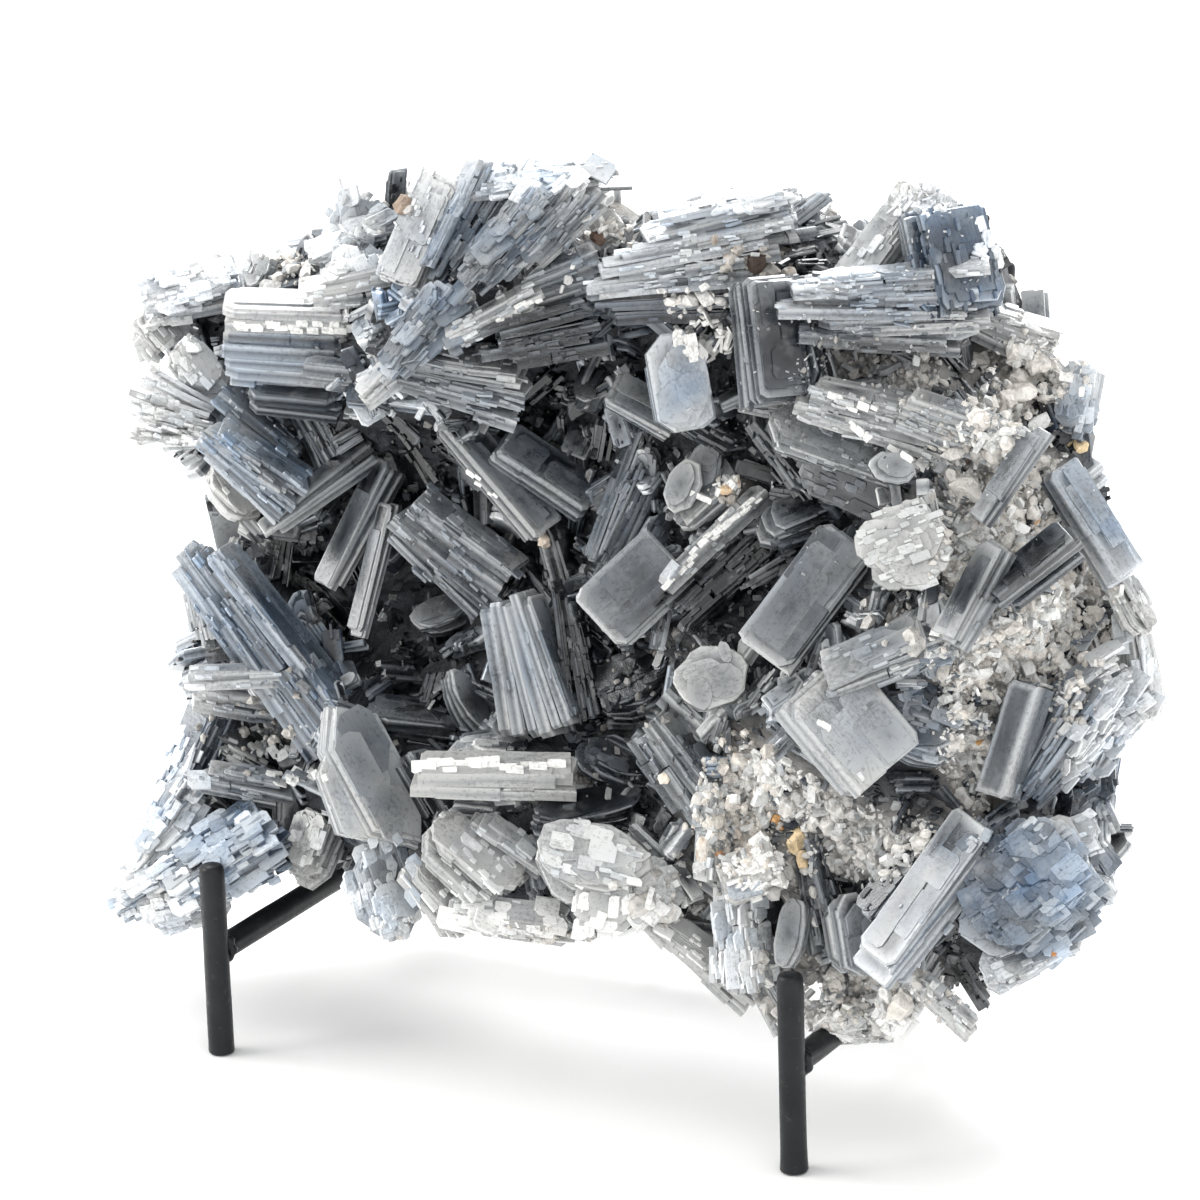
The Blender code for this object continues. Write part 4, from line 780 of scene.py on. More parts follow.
# ---------------------------------------------------------------- materials
def nodes_of(name):
    m = bpy.data.materials.new(name)
    m.use_nodes = True
    t = m.node_tree
    return m, t, t.nodes["Principled BSDF"]


def link(t, a, b):
    t.links.new(a, b)


def node(t, kind, **values):
    n = t.nodes.new(kind)
    for k, v in values.items():
        if k in n.inputs.keys():
            n.inputs[k].default_value = v
        else:
            setattr(n, k, v)
    return n


def noise_tex(t, vector, scale, detail=4.0, rough=.55):
    n = node(t, "ShaderNodeTexNoise")
    n.inputs["Scale"].default_value = scale
    n.inputs["Detail"].default_value = detail
    n.inputs["Roughness"].default_value = rough
    link(t, vector, n.inputs["Vector"])
    return n.outputs["Fac"]


def mapped(t, vector, scale):
    m = node(t, "ShaderNodeMapping")
    m.inputs["Scale"].default_value = scale
    link(t, vector, m.inputs["Vector"])
    return m.outputs["Vector"]


def spread(t, value, lo, hi, out_lo=0.0, out_hi=1.0):
    r = node(t, "ShaderNodeMapRange")
    r.inputs["From Min"].default_value = lo
    r.inputs["From Max"].default_value = hi
    r.inputs["To Min"].default_value = out_lo
    r.inputs["To Max"].default_value = out_hi
    link(t, value, r.inputs["Value"])
    return r.outputs["Result"]


def math_node(t, op, a, b):
    n = node(t, "ShaderNodeMath")
    n.operation = op
    for k, x in enumerate((a, b)):
        if isinstance(x, (int, float)):
            n.inputs[k].default_value = x
        else:
            link(t, x, n.inputs[k])
    return n.outputs[0]


def mix_colour(t, fac, a, b, blend="MIX"):
    n = node(t, "ShaderNodeMix")
    n.data_type = "RGBA"
    n.blend_type = blend
    if isinstance(fac, (int, float)):
        n.inputs[0].default_value = fac
    else:
        link(t, fac, n.inputs[0])
    for k, x in ((6, a), (7, b)):
        if isinstance(x, tuple):
            n.inputs[k].default_value = (*x, 1)
        else:
            link(t, x, n.inputs[k])
    return n.outputs[2]


def bumped(t, p, height, strength, distance, before=None):
    b = node(t, "ShaderNodeBump")
    b.inputs["Strength"].default_value = strength
    b.inputs["Distance"].default_value = distance
    link(t, height, b.inputs["Height"])
    if before is not None:
        link(t, before, b.inputs["Normal"])
    return b.outputs["Normal"]


def crystal_material(name, transmission, rough):
    m, t, p = nodes_of(name)
    tint = node(t, "ShaderNodeAttribute", attribute_name="tint").outputs["Color"]
    grain = node(t, "ShaderNodeAttribute", attribute_name="grain").outputs["Vector"]
    place = node(t, "ShaderNodeTexCoord").outputs["Object"]
    streak = noise_tex(t, mapped(t, grain, (.30, 2.6, 4.5)), 1.0, 2.0, .6)
    cloud = noise_tex(t, place, 95.0, 1.0)
    patch = noise_tex(t, place, 260.0, 2.0)
    frost = noise_tex(t, grain, 1.15, 3.0, .72)
    # faint streaks, clouds and frosting inside the blades
    value = math_node(t, "MULTIPLY", spread(t, streak, .28, .72, .80, 1.18), spread(t, cloud, .3, .7, .80, 1.20))
    value = math_node(t, "MULTIPLY", value, spread(t, frost, .30, .70, .60, 1.42))
    colour = mix_colour(t, 1.0, tint, mix_colour(t, value, (0, 0, 0), (1, 1, 1)), "MULTIPLY")
    lighter = mix_colour(t, spread(t, patch, .54, .80, 0, .30), colour, (.60, .63, .65), "MIX")
    link(t, lighter, p.inputs["Base Color"])
    link(t, spread(t, frost, .3, .75, rough * .5, rough * 2.4), p.inputs["Roughness"])
    link(t, bumped(t, p, frost, .26, .0003), p.inputs["Normal"])
    p.inputs["IOR"].default_value = 1.64
    p.inputs["Transmission Weight"].default_value = transmission
    return m


def matrix_material():
    m, t, p = nodes_of("crumbly_matrix")
    tint = node(t, "ShaderNodeAttribute", attribute_name="tint").outputs["Color"]
    place = node(t, "ShaderNodeTexCoord").outputs["Object"]
    a = noise_tex(t, place, 420.0, 3.0, .65)
    b = noise_tex(t, place, 1900.0, 2.0, .6)
    value = math_node(t, "MULTIPLY", spread(t, a, .3, .7, .62, 1.30), spread(t, b, .3, .7, .80, 1.18))
    colour = mix_colour(t, 1.0, tint, mix_colour(t, value, (0, 0, 0), (1, 1, 1)), "MULTIPLY")
    link(t, colour, p.inputs["Base Color"])
    link(t, spread(t, b, .3, .7, .45, .9), p.inputs["Roughness"])
    n1 = bumped(t, p, a, .6, .0012)
    link(t, bumped(t, p, b, .5, .0004, n1), p.inputs["Normal"])
    p.inputs["IOR"].default_value = 1.55
    return m


def iron_material():
    m, t, p = nodes_of("black_painted_iron")
    place = node(t, "ShaderNodeTexCoord").outputs["Object"]
    broad = noise_tex(t, place, 160.0, 4.0)
    fine = noise_tex(t, place, 1500.0, 4.0)
    worn = spread(t, noise_tex(t, place, 420.0, 6.0, .7), .60, .70, 0, 1)
    colour = mix_colour(t, spread(t, broad, .3, .7, 0, 1), (.0045, .0052, .0068), (.011, .0125, .0155))
    colour = mix_colour(t, math_node(t, "MULTIPLY", worn, .55), colour, (.075, .066, .058))
    link(t, colour, p.inputs["Base Color"])
    link(t, spread(t, fine, .3, .7, .30, .52), p.inputs["Roughness"])
    n1 = bumped(t, p, broad, .35, .0006)
    link(t, bumped(t, p, fine, .22, .00012, n1), p.inputs["Normal"])
    p.inputs["Metallic"].default_value = 0.0
    p.inputs["Specular IOR Level"].default_value = .30
    return m


def floor_material():
    m, t, p = nodes_of("pale_floor")
    place = node(t, "ShaderNodeTexCoord").outputs["Object"]
    n = noise_tex(t, place, 6.0, 3.0)
    link(t, mix_colour(t, spread(t, n, .3, .7, 0, 1), (.955, .955, .95), (.965, .965, .96)), p.inputs["Base Color"])
    p.inputs["Roughness"].default_value = .7
    p.inputs["Specular IOR Level"].default_value = .2
    return m


# ---------------------------------------------------------------- the specimen
crystal = crystal_material("barite_blades", .50, .075)
dense = crystal_material("barite_dense", .10, .10)
matrix = matrix_material()
iron = iron_material()

heaps = {}
for region, books in BOOKS.items():
    heap = heaps[region] = Heap()
    for name, u, v, y, length, width, stack, count, direction, lean, turn, splay, start, kind, tone, blue, ragged in books:
        along, wide, normal = axes(RIGHT, UP, BACK, direction, lean, turn)
        base = as_matrix(at(u, v, y), along, wide, normal)
        book(heap, base, length * UNIT, width * UNIT, stack * UNIT, count, splay, start, kind, tone, blue, ragged, turn=turn)

core_v, core_f, core_side = body()
core_tree = BVHTree.FromPolygons(core_v.tolist(), core_f.tolist())


def nearest_book(u, v):
    d = (BOOK_UV[:, 0] - u) ** 2 + (BOOK_UV[:, 1] - v) ** 2
    return int(d.argmin())


# small blades that fill the gaps, on the front
heap = heaps["fill_front"] = Heap()
made = 0
while made < 680:
    u, v = RNG.uniform(110, 1160), RNG.uniform(160, 1045)
    if not inside(u, v):
        continue
    d = (at(u, v, 20.0) - EYE).normalized()
    hit, normal, index, dist = core_tree.ray_cast(EYE, d)
    if hit is None:
        continue
    if matrix_zone(np.array([u]), np.array([v]))[0][0] > .35 and RNG.random() < .85:
        made += 1
        continue
    near = FLAT_BOOKS[nearest_book(u, v)]
    # darker than the book nearby, as painted shade of the gaps they fill
    tone = -.02 + .62 * near[14] + RNG.normal(0, .07)
    right, up, front = RIGHT, UP, (BACK * .6 + normal * .4).normalized()
    right = up.cross(front).normalized()
    up = front.cross(right)
    turn = RNG.uniform(15, 80) * RNG.choice([1, 1, -1])
    along, wide, n = axes(right, up, front, near[8] + RNG.normal(0, 40), RNG.normal(0, 22), turn)
    length = RNG.uniform(.0045, .0125)
    base = as_matrix(hit + front * RNG.uniform(-.0005, .0022), along, wide, n)
    kind = RNG.choice(["B", "H", "H"])
    book(heap, base, length, length * RNG.uniform(.3, .55), RNG.uniform(.0012, .0042), int(RNG.integers(1, 4)), RNG.uniform(0, 10),
         RNG.choice([0, -.4]), kind, tone, near[15], 1.0, turn=turn)
    made += 1

# blades on the faces of the front that look aside, which the picture shows only edge-on
kept = RNG.bit_generator.state
heap = heaps["fill_flank"] = Heap()
tri = core_v[core_f]
area = np.linalg.norm(np.cross(tri[:, 1] - tri[:, 0], tri[:, 2] - tri[:, 0]), axis=1)
made = 0
for f in RNG.choice(len(core_f), 6000, p=area / area.sum()):
    a, b, c = (Vector(core_v[k]) for k in core_f[f])
    normal = (b - a).cross(c - a).normalized()
    p = (a + b + c) / 3
    behind = core_side[core_f[f]].max() == 1
    if behind and (normal.y > .55 or RNG.random() < .4) or not behind and not -.5 < normal.dot(BACK) < .62:
        continue
    u, v = picture(np.array([p]))[0]
    if matrix_zone(np.array([u]), np.array([v]))[0][0] > .5 and RNG.random() < .6:
        continue
    near = FLAT_BOOKS[nearest_book(u, v)]
    right = (Vector((0, 0, 1)) if abs(normal.z) < .8 else Vector((1, 0, 0))).cross(normal).normalized()
    turn = RNG.uniform(15, 80) * RNG.choice([1, -1])
    along, wide, n = axes(right, normal.cross(right), normal, RNG.uniform(0, 360), RNG.normal(0, 22), turn)
    length = RNG.uniform(.0045, .0115)
    base = as_matrix(p + normal * RNG.uniform(-.0008, .0012), along, wide, n)
    book(heap, base, length, length * RNG.uniform(.3, .55), RNG.uniform(.0012, .0040), int(RNG.integers(1, 4)), RNG.uniform(0, 10),
         RNG.choice([0, -.4]), RNG.choice(["B", "H", "H"]), .08 + .60 * near[14] + RNG.normal(0, .07) + (.12 if behind else 0),
         near[15], 1.0, turn=turn)
    made += 1
    if made == 760:
        break
RNG.bit_generator.state = kept

# the flanks, top, underside and back
ROUND_BOOKS = [
    ("back_a", 222, 345, 66, 180, 10, 26, 12, 12, 3, 25, 10, 60, 10, 0, "H"),
    ("back_b", 432, 262, 74, 180, 30, 26, 14, 12, 3, 60, 10, 55, 10, 0, "H"),
    ("back_c", 598, 300, 80, 180, 30, 28, 12, 12, 3, -30, 10, 60, 8, 0, "B"),
    ("back_d", 735, 292, 82, 180, 30, 28, 14, 12, 3, 50, 10, 60, 8, 0, "H"),
    ("back_e", 905, 322, 82, 170, 20, 26, 14, 14, 3, -60, 5, 50, 10, 0, "H"),
    ("back_f", 985, 430, 80, 150, 10, 30, 14, 14, 3, 75, 5, 55, 8, 0, "B"),
    ("back_g", 1030, 610, 72, 140, 0, 30, 14, 14, 3, 30, 5, 55, 10, 0, "H"),
    ("back_h", 290, 490, 66, 200, 0, 28, 12, 12, 3, -60, 5, 50, 10, 0, "H"),
    ("back_i", 290, 640, 62, 210, 0, 26, 12, 12, 3, 40, 5, 55, 10, 0, "H"),
    ("back_j", 880, 520, 82, 180, 0, 34, 14, 10, 3, 20, 5, 50, 10, 0, "H"),
    ("back_k", 480, 425, 80, 180, 0, 38, 16, 10, 2, 35, 5, 35, 4, 0, "H"),
    ("back_l", 660, 480, 82, 180, 0, 36, 16, 12, 3, -50, 5, 50, 8, 0, "H"),
    ("back_m", 560, 610, 78, 180, 0, 40, 16, 12, 3, 10, 5, 60, 8, 0, "B"),
    ("back_n", 790, 690, 76, 180, 0, 34, 14, 12, 3, 65, 5, 55, 8, 0, "H"),
    ("back_o", 410, 700, 74, 180, -10, 34, 14, 12, 3, -35, 5, 50, 8, 0, "H"),
    ("side_r_a", 1035, 455, 70, 95, 10, 26, 12, 12, 3, 70, 5, 60, 10, 0, "H"),
    ("side_r_b", 1082, 612, 64, 95, 0, 26, 12, 12, 3, 20, 5, 60, 10, 0, "H"),
    ("side_r_c", 1062, 715, 52, 95, -10, 26, 12, 12, 3, -40, 5, 60, 8, 0, "B"),
    ("side_l_a", 190, 338, 56, -95, 10, 24, 12, 12, 3, 60, 5, 60, 10, 0, "H"),
    ("side_l_b", 222, 420, 56, -100, 0, 28, 12, 12, 3, -30, 5, 60, 10, 0, "H"),
    ("side_l_c", 248, 540, 56, -95, 0, 28, 14, 12, 3, 80, 5, 55, 8, 0, "B"),
    ("side_l_d", 226, 668, 50, -95, 0, 28, 12, 12, 3, 20, 5, 60, 10, 0, "H"),
    ("top_a", 340, 262, 60, -20, 60, 26, 12, 10, 3, 15, 5, 60, 8, 0, "H"),
    ("top_b", 520, 215, 62, 0, 60, 30, 14, 10, 3, -25, 5, 55, 10, 0, "H"),
    ("top_c", 690, 240, 66, 20, 60, 30, 12, 10, 3, 20, 5, 60, 8, 0, "B"),
    ("top_d", 850, 268, 70, 40, 60, 26, 12, 10, 3, 0, 5, 60, 10, 0, "H"),
]
heap = heaps["back_books"] = Heap()
for name, u, v, y, az, el, length, width, stack, count, direction, lean, turn, splay, start, kind in ROUND_BOOKS:
    along, wide, normal = axes(*facing(az, el), direction, lean, turn)
    base = as_matrix(at(u, v, y), along, wide, normal)
    book(heap, base, length / 1000, width / 1000, stack / 1000, count + 2, splay, start, kind, RNG.uniform(.18, .36), RNG.uniform(.2, .8), 1.0,
         turn=turn)

heap = heaps["fill_round"] = Heap()
tri = core_v[core_f]
area = np.linalg.norm(np.cross(tri[:, 1] - tri[:, 0], tri[:, 2] - tri[:, 0]), axis=1)
pick = RNG.choice(len(core_f), 900, p=area / area.sum())
for f in pick:
    a, b, c = (Vector(core_v[k]) for k in core_f[f])
    normal = (b - a).cross(c - a).normalized()
    if normal.dot(BACK) > .15:
        continue
    p = (a + b + c) / 3
    if p.z < .024 and normal.z < -.3 and abs(abs(p.x) - POST_X) < .006:
        continue
    flat_back = normal.y > .6
    right = (Vector((0, 0, 1)) if abs(normal.z) < .8 else Vector((1, 0, 0))).cross(normal).normalized()
    up = normal.cross(right)
    turn = RNG.uniform(5, 40 if flat_back else 75) * RNG.choice([1, -1])
    along, wide, n = axes(right, up, normal, RNG.uniform(0, 360), RNG.normal(0, 10 if flat_back else 28), turn)
    length = RNG.uniform(.005, .015)
    lift = RNG.uniform(-.0015, .0006) if flat_back else RNG.uniform(-.001, .0025)
    at_rod = abs(abs(p.x) - POST_X) < .006 or abs(p.z - .1370) < .006 or abs(p.z - .0212) < .006
    if flat_back and at_rod:
        lift -= .0020
    base = as_matrix(p + normal * lift, along, wide, n)
    kind = RNG.choice(["B", "H", "H"])
    book(heap, base, length, length * RNG.uniform(.3, .6), RNG.uniform(.0012, .0045), int(RNG.integers(1, 4)), RNG.uniform(0, 12),
         RNG.choice([0, -.4]), kind, RNG.uniform(.16, .42) + (.18 if normal.dot(BACK) > -.4 else 0), RNG.uniform(.1, .7), 1.0, turn=turn)

# body: dark in the front cavities as painted shade, paler near the outline as painted light, beige where the matrix is
# bare, grey-beige behind
uv = picture(core_v)
strength, pale, warm = matrix_zone(uv[:, 0], uv[:, 1])
jitter = RNG.normal(0, .35, (len(core_v), 2))
big = np.array([noise.noise(Vector(p) * 120) for p in core_v])
front = core_side == 0
dark = ramp(np.where(front, .13 + .10 * big + .30 * outline_light_nearness(uv), .42 + .16 * big), np.full(len(core_v), .4))
bare = matrix_colour(np.where(front, pale, .36 + .25 * big), np.where(front, warm, .55 + .8 * np.clip(big, 0, 1)), jitter)
mixing = np.where(front, strength ** 1.1, np.clip(.62 + 1.3 * big, .25, 1))[:, None]
add_piece("matrix_body", make_mesh("matrix_body", core_v, core_f, dark * (1 - mixing) + bare * mixing, smooth=False), matrix, "barite_cluster")

# crumbs, small crystals and druse: rays find where they lie
all_v, all_f, off, face_start = [core_v], [core_f], len(core_v), len(core_f)
for h in heaps.values():
    v, f = h.arrays()
    all_v.append(v)
    all_f.append(f + off)
    off += len(v)
    h.start = face_start
    face_start += len(f)
tree = BVHTree.FromPolygons(np.concatenate(all_v).tolist(), np.concatenate(all_f).tolist())
GROWTH.sort(key=lambda b: b[0].start + b[1])
STARTS = np.array([b[0].start + b[1] for b in GROWTH])

g = (1 + 5 ** .5) / 2
ICO = np.array([(-1, g, 0), (1, g, 0), (-1, -g, 0), (1, -g, 0), (0, -1, g), (0, 1, g), (0, -1, -g), (0, 1, -g), (g, 0, -1), (g, 0, 1), (-g, 0, -1), (-g, 0, 1)]) / math.hypot(1, g)
ICO_F = np.array([(0, 11, 5), (0, 5, 1), (0, 1, 7), (0, 7, 10), (0, 10, 11), (1, 5, 9), (5, 11, 4), (11, 10, 2), (10, 7, 6), (7, 1, 8),
                  (3, 9, 4), (3, 4, 2), (3, 2, 6), (3, 6, 8), (3, 8, 9), (4, 9, 5), (2, 4, 11), (6, 2, 10), (8, 6, 7), (9, 8, 1)])


def crumb(heap, p, normal, size, colour):
    v = ICO * RNG.uniform(.55, 1.25, (12, 1)) * size * RNG.uniform(.6, 1.2, 3)
    q = Vector(RNG.normal(0, 1, 3)).normalized().to_track_quat("Z", "Y").to_matrix()
    v = v @ np.array(q).T + np.array(p + normal * size * .15)
    heap.add(v, ICO_F, np.zeros(12), 0.0, v * 1000, np.tile(colour, (12, 1)))


def finer(v, f):
    """Each triangle of a ball cut in four."""
    v, out, mid = [tuple(p) for p in v], [], {}

    def between(a, b):
        key = (min(a, b), max(a, b))
        if key not in mid:
            mid[key] = len(v)
            v.append(tuple((Vector(v[a]) + Vector(v[b])).normalized()))
        return mid[key]

    for a, b, c in f.tolist():
        ab, bc, ca = between(a, b), between(b, c), between(c, a)
        out += [(a, ab, ca), (b, bc, ab), (c, ca, bc), (ab, bc, ca)]
    return np.array(v), np.array(out)


LUMP_V, LUMP_F = finer(ICO, ICO_F)


def lump(heap, p, normal, size, pale, warm):
    """A piece of crumbly matrix, pitted and blocky."""
    far = 1 + .30 * np.array([noise.noise(Vector(q) * 1.7 + p * 900) for q in LUMP_V]) + RNG.uniform(-.13, .13, len(LUMP_V))
    v = LUMP_V * far[:, None] * size * RNG.uniform(.55, 1.2, 3)
    q = Vector(RNG.normal(0, 1, 3)).normalized().to_track_quat("Z", "Y").to_matrix()
    v = v @ np.array(q).T + np.array(p - normal * size * .15)
    rgb = matrix_colour(pale + .5 * (far - 1), np.full(len(v), warm), RNG.normal(0, .5, (len(v), 2)))
    heap.add(v, LUMP_F, np.zeros(len(v)), 0.0, v * 1000, rgb)


def grain_crystal(heap, p, normal, size, tone, blue):
    along = Vector(RNG.normal(0, 1, 3)).normalized()
    along = (along + normal * .8).normalized()
    wide = along.cross(Vector(RNG.normal(0, 1, 3))).normalized()
    plate(heap, p + along * size * .25, along, wide, size, size * RNG.uniform(.35, .7), size * .24, tone, blue)


def plate(heap, p, along, wide, length, width, thick, tone, blue):
    """A small tabular crystal with two cut corners."""
    hl, hw = length / 2, width / 2
    a, b = RNG.uniform(.15, .8, 2) * min(hl, hw)
    shape = np.array([(hl, hw - a), (hl - a, hw), (-hl, hw), (-hl, -hw + b), (-hl + b, -hw), (hl, -hw)])
    prism(heap, rows(as_matrix(p, along, wide, along.cross(wide))), shape, -thick / 2, thick / 2, tone + .04, blue, .09, .00010, thin=True, fan=True)


def cast(u, v):
    """What shows at (u, v) in the picture: place, normal towards the viewer, and the book or None."""
    hit, normal, index, dist = tree.ray_cast(EYE, (at(u, v, 20.0) - EYE).normalized())
    if hit is None:
        return None, None, None
    if normal.dot(BACK) < 0:
        normal = -normal
    return hit, normal, GROWTH[int(np.searchsorted(STARTS, index, side="right")) - 1] if index >= len(core_f) else None


def tilted(v, degrees):
    return Matrix.Rotation(math.radians(RNG.normal(0, degrees)), 3, Vector(RNG.normal(0, 1, 3)).normalized()) @ v


def side_of(along, normal):
    wide = normal.cross(along)
    return wide.normalized() if wide.length > 1e-4 else along.orthogonal().normalized()


# small crystals grown in line with the crystal they sit on
growths = Heap()
made = 0
while made < 3000:
    u, v = RNG.uniform(105, 1165), RNG.uniform(155, 1048)
    if not inside(u, v) or noise.noise(Vector((u / 30, v / 30, 7))) < -.12:
        continue
    hit, normal, b = cast(u, v)
    if hit is None:
        continue
    if b is None:
        if matrix_zone(np.array([u]), np.array([v]))[0][0] > .45:
            continue
        along, n, tone, blue = tilted(RIGHT, 60), normal, .26, .3
    else:
        if b[6] < .65 and RNG.random() > .05 or RNG.random() > b[6] * .9 - .1:
            continue
        if matrix_zone(np.array([u]), np.array([v]))[0][0] > .35 and RNG.random() < .85:
            continue
        base = b[3]
        along, n, tone, blue = base.col[0].xyz, base.col[2].xyz, b[4], b[5]
    along = tilted(along, 6).normalized()
    length = float(np.clip(.0017 * math.exp(RNG.normal(0, .45)), .0007, .0042))
    flat = abs(normal.dot(n)) > .7
    p = hit + normal * (length * RNG.uniform(-.10, .06) if not flat else .0001)
    wide = side_of(along, tilted(n, 5))
    plate(growths, p, along, wide, length, length * RNG.uniform(.3, .75), RNG.uniform(.00025, .0007), tone + RNG.normal(-.02, .045), blue * RNG.uniform(.8, 1.1))
    made += 1

# crinkled patches and rosettes: u, v, half-width, half-height, count, size mm, paleness, blueness, tilt, radial
# the patch at 705, 338 is white as painted light: the bright backdrop seen through a gap
CRINKLES = [
    (1030, 888, 62, 62, 230, 3.4, .38, 1.2, 13, 0), (1066, 930, 40, 46, 50, 3.0, .50, .8, 14, 0), (1010, 836, 60, 16, 24, 3.4, .56, .6, 10, 0),
    (205, 858, 84, 46, 110, 3.8, .58, .9, 10, 0), (160, 900, 50, 34, 60, 3.2, .82, .6, 12, 0), (175, 790, 30, 70, 50, 3.4, .66, .7, 10, 0),
    (600, 862, 56, 36, 16, 3.6, .76, .1, 8, 0),
    (556, 918, 140, 18, 60, 3.6, .80, .1, 12, 0), (400, 925, 30, 14, 40, 2.2, .80, .3, 26, 0), (384, 880, 34, 46, 50, 3.4, .64, .8, 12, 0),
    (182, 282, 48, 26, 50, 3.2, .90, .6, 10, 0), (268, 262, 26, 18, 50, 2.0, .84, .2, 40, 0), (352, 232, 40, 40, 100, 3.4, .74, .45, 18, 1),
    (920, 200, 40, 16, 70, 1.8, .84, .4, 44, 1), (988, 240, 12, 24, 24, 2.2, .8, .8, 20, 0),
    (1128, 700, 30, 74, 90, 3.4, .82, .5, 12, 0), (1090, 770, 26, 50, 70, 2.8, .74, .6, 26, 0), (1085, 400, 22, 44, 60, 2.4, .74, .6, 20, 0),
    (550, 176, 60, 18, 90, 3.0, .72, .7, 16, 0), (500, 236, 56, 46, 60, 3.0, .44, .7, 9, 0), (430, 332, 34, 34, 40, 2.8, .5, 1.0, 10, 0),
    (738, 196, 66, 14, 70, 3.0, .76, .6, 12, 0), (742, 940, 26, 60, 60, 3.4, .64, .6, 14, 0), (880, 1022, 60, 18, 70, 2.6, .74, .1, 30, 0),
    (168, 345, 34, 30, 50, 2.6, .74, .1, 30, 0), (160, 430, 40, 34, 60, 2.4, .70, .5, 14, 0), (705, 338, 30, 20, 60, 2.2, 1.0, .0, 30, 0),
    (755, 870, 30, 28, 40, 2.0, .96, .0, 50, 0), (425, 500, 20, 20, 20, 1.6, .5, .3, 20, 0), (256, 752, 40, 8, 30, 2.0, .9, .0, 14, 0),
    (296, 778, 30, 7, 20, 2.0, .86, .0, 14, 0), (930, 690, 30, 40, 50, 2.4, .5, .7, 20, 0),
]
for cu, cv, ru, rv, number, size, tone, blue, tilt, radial in CRINKLES:
    for _ in range(number):
        far, a = math.sqrt(RNG.random()), RNG.uniform(0, 2 * math.pi)
        u, v = cu + ru * far * math.cos(a), cv + rv * far * math.sin(a)
        if not inside(u, v):
            continue
        hit, normal, b = cast(u, v)
        if hit is None:
            continue
        if radial:
            along = math.cos(a) * RIGHT - math.sin(a) * UP + BACK * (.25 - .5 * far)
        else:
            along = b[3].col[0].xyz if b else tilted(RIGHT, 60)
        n = (BACK * .4 + normal * .6) if radial or b is None else (b[3].col[2].xyz * .6 + normal * .4)
        along, n = tilted(along, tilt).normalized(), tilted(n, tilt).normalized()
        length = size * .001 * math.exp(RNG.normal(0, .32))
        plate(growths, hit + normal * RNG.uniform(-.0004, .0004), along, side_of(along, n), length, length * RNG.uniform(.45, .9),
              RNG.uniform(.00022, .0006), tone - .12 + (.12 * far * far if radial else 0) + RNG.normal(0, .04), blue * (1 - .4 * far))

# near-white facets along some crystals, a painted glint of reflected light: from u, v to u, v in the picture, count,
# size mm
for u0, v0, u1, v1, number, size in ((664, 586, 700, 548, 9, 1.7), (702, 544, 762, 494, 12, 2.6), (424, 768, 500, 764, 9, 4.2), (500, 768, 572, 766, 7, 3.4),
                                     (498, 322, 542, 298, 8, 2.2), (832, 398, 872, 412, 6, 2.4), (850, 420, 872, 440, 5, 2.6), (892, 446, 932, 472, 8, 2.4),
                                     (238, 326, 352, 328, 16, 2.6), (560, 296, 572, 262, 4, 2.0), (466, 470, 500, 498, 5, 1.8), (1004, 620, 1012, 634, 4, 2.0),
                                     (820, 724, 826, 728, 2, 2.2), (740, 868, 770, 856, 8, 2.4)):
    for k in range(number):
        t = (k + RNG.uniform(.1, .9)) / number
        hit, normal, b = cast(u0 + (u1 - u0) * t + RNG.normal(0, 2), v0 + (v1 - v0) * t + RNG.normal(0, 2))
        if hit is None:
            continue
        along = (RIGHT * (u1 - u0) - UP * (v1 - v0)).normalized()
        n = tilted(BACK * .5 + normal * .5, 5)
        length = size * .001 * RNG.uniform(.6, 1.2)
        plate(growths, hit + normal * .0002, tilted(along, 5).normalized(), side_of(along, n), length, length * RNG.uniform(.4, .7), .0003, .92, 0.0)

crumbs, druse, bits = Heap(), Heap(), Heap()
tries = 0
count = 0
while count < 5200 and tries < 90000:
    tries += 1
    k = RNG.integers(len(MATRIX))
    mu, mv, ru, rv, pl, wm, cover = MATRIX[k]
    if RNG.random() > cover * ru * rv / 2600:
        continue
    du, dv = RNG.normal(0, .58, 2)
    if math.hypot(du, dv) > 1.25 or not inside(mu + du * ru, mv + dv * rv):
        continue
    hit, normal, b = cast(mu + du * ru, mv + dv * rv)
    if hit is None:
        continue
    if b is not None and (b[6] < .65 or RNG.random() > .15 + .6 * cover * (pl > .55)):
        continue
    size = float(np.clip(RNG.lognormal(-.60, .55), .2, 1.9)) * .001
    if RNG.random() < .5:
        crumb(crumbs, hit, normal, size, matrix_colour(np.array([pl]), np.array([wm]), RNG.normal(0, .6, (1, 2)))[0])
    else:
        grain_crystal(bits, hit, normal, size * 2.3, pl + RNG.normal(.06, .08), 0.0)
    count += 1

# lumps of matrix among them
made = 0
while made < 420:
    k = RNG.integers(len(MATRIX))
    mu, mv, ru, rv, pl, wm, cover = MATRIX[k]
    if RNG.random() > cover * ru * rv / 2600:
        continue
    made += 1
    u, v = mu + RNG.normal(0, .5) * ru, mv + RNG.normal(0, .5) * rv
    if not inside(u, v) or pl < .5:
        continue
    hit, normal, b = cast(u, v)
    if hit is None or (b is not None and b[6] < .65):
        continue
    lump(crumbs, hit, normal, float(np.clip(RNG.lognormal(.1, .4), .5, 2.6)) * .001, pl + .08, wm)

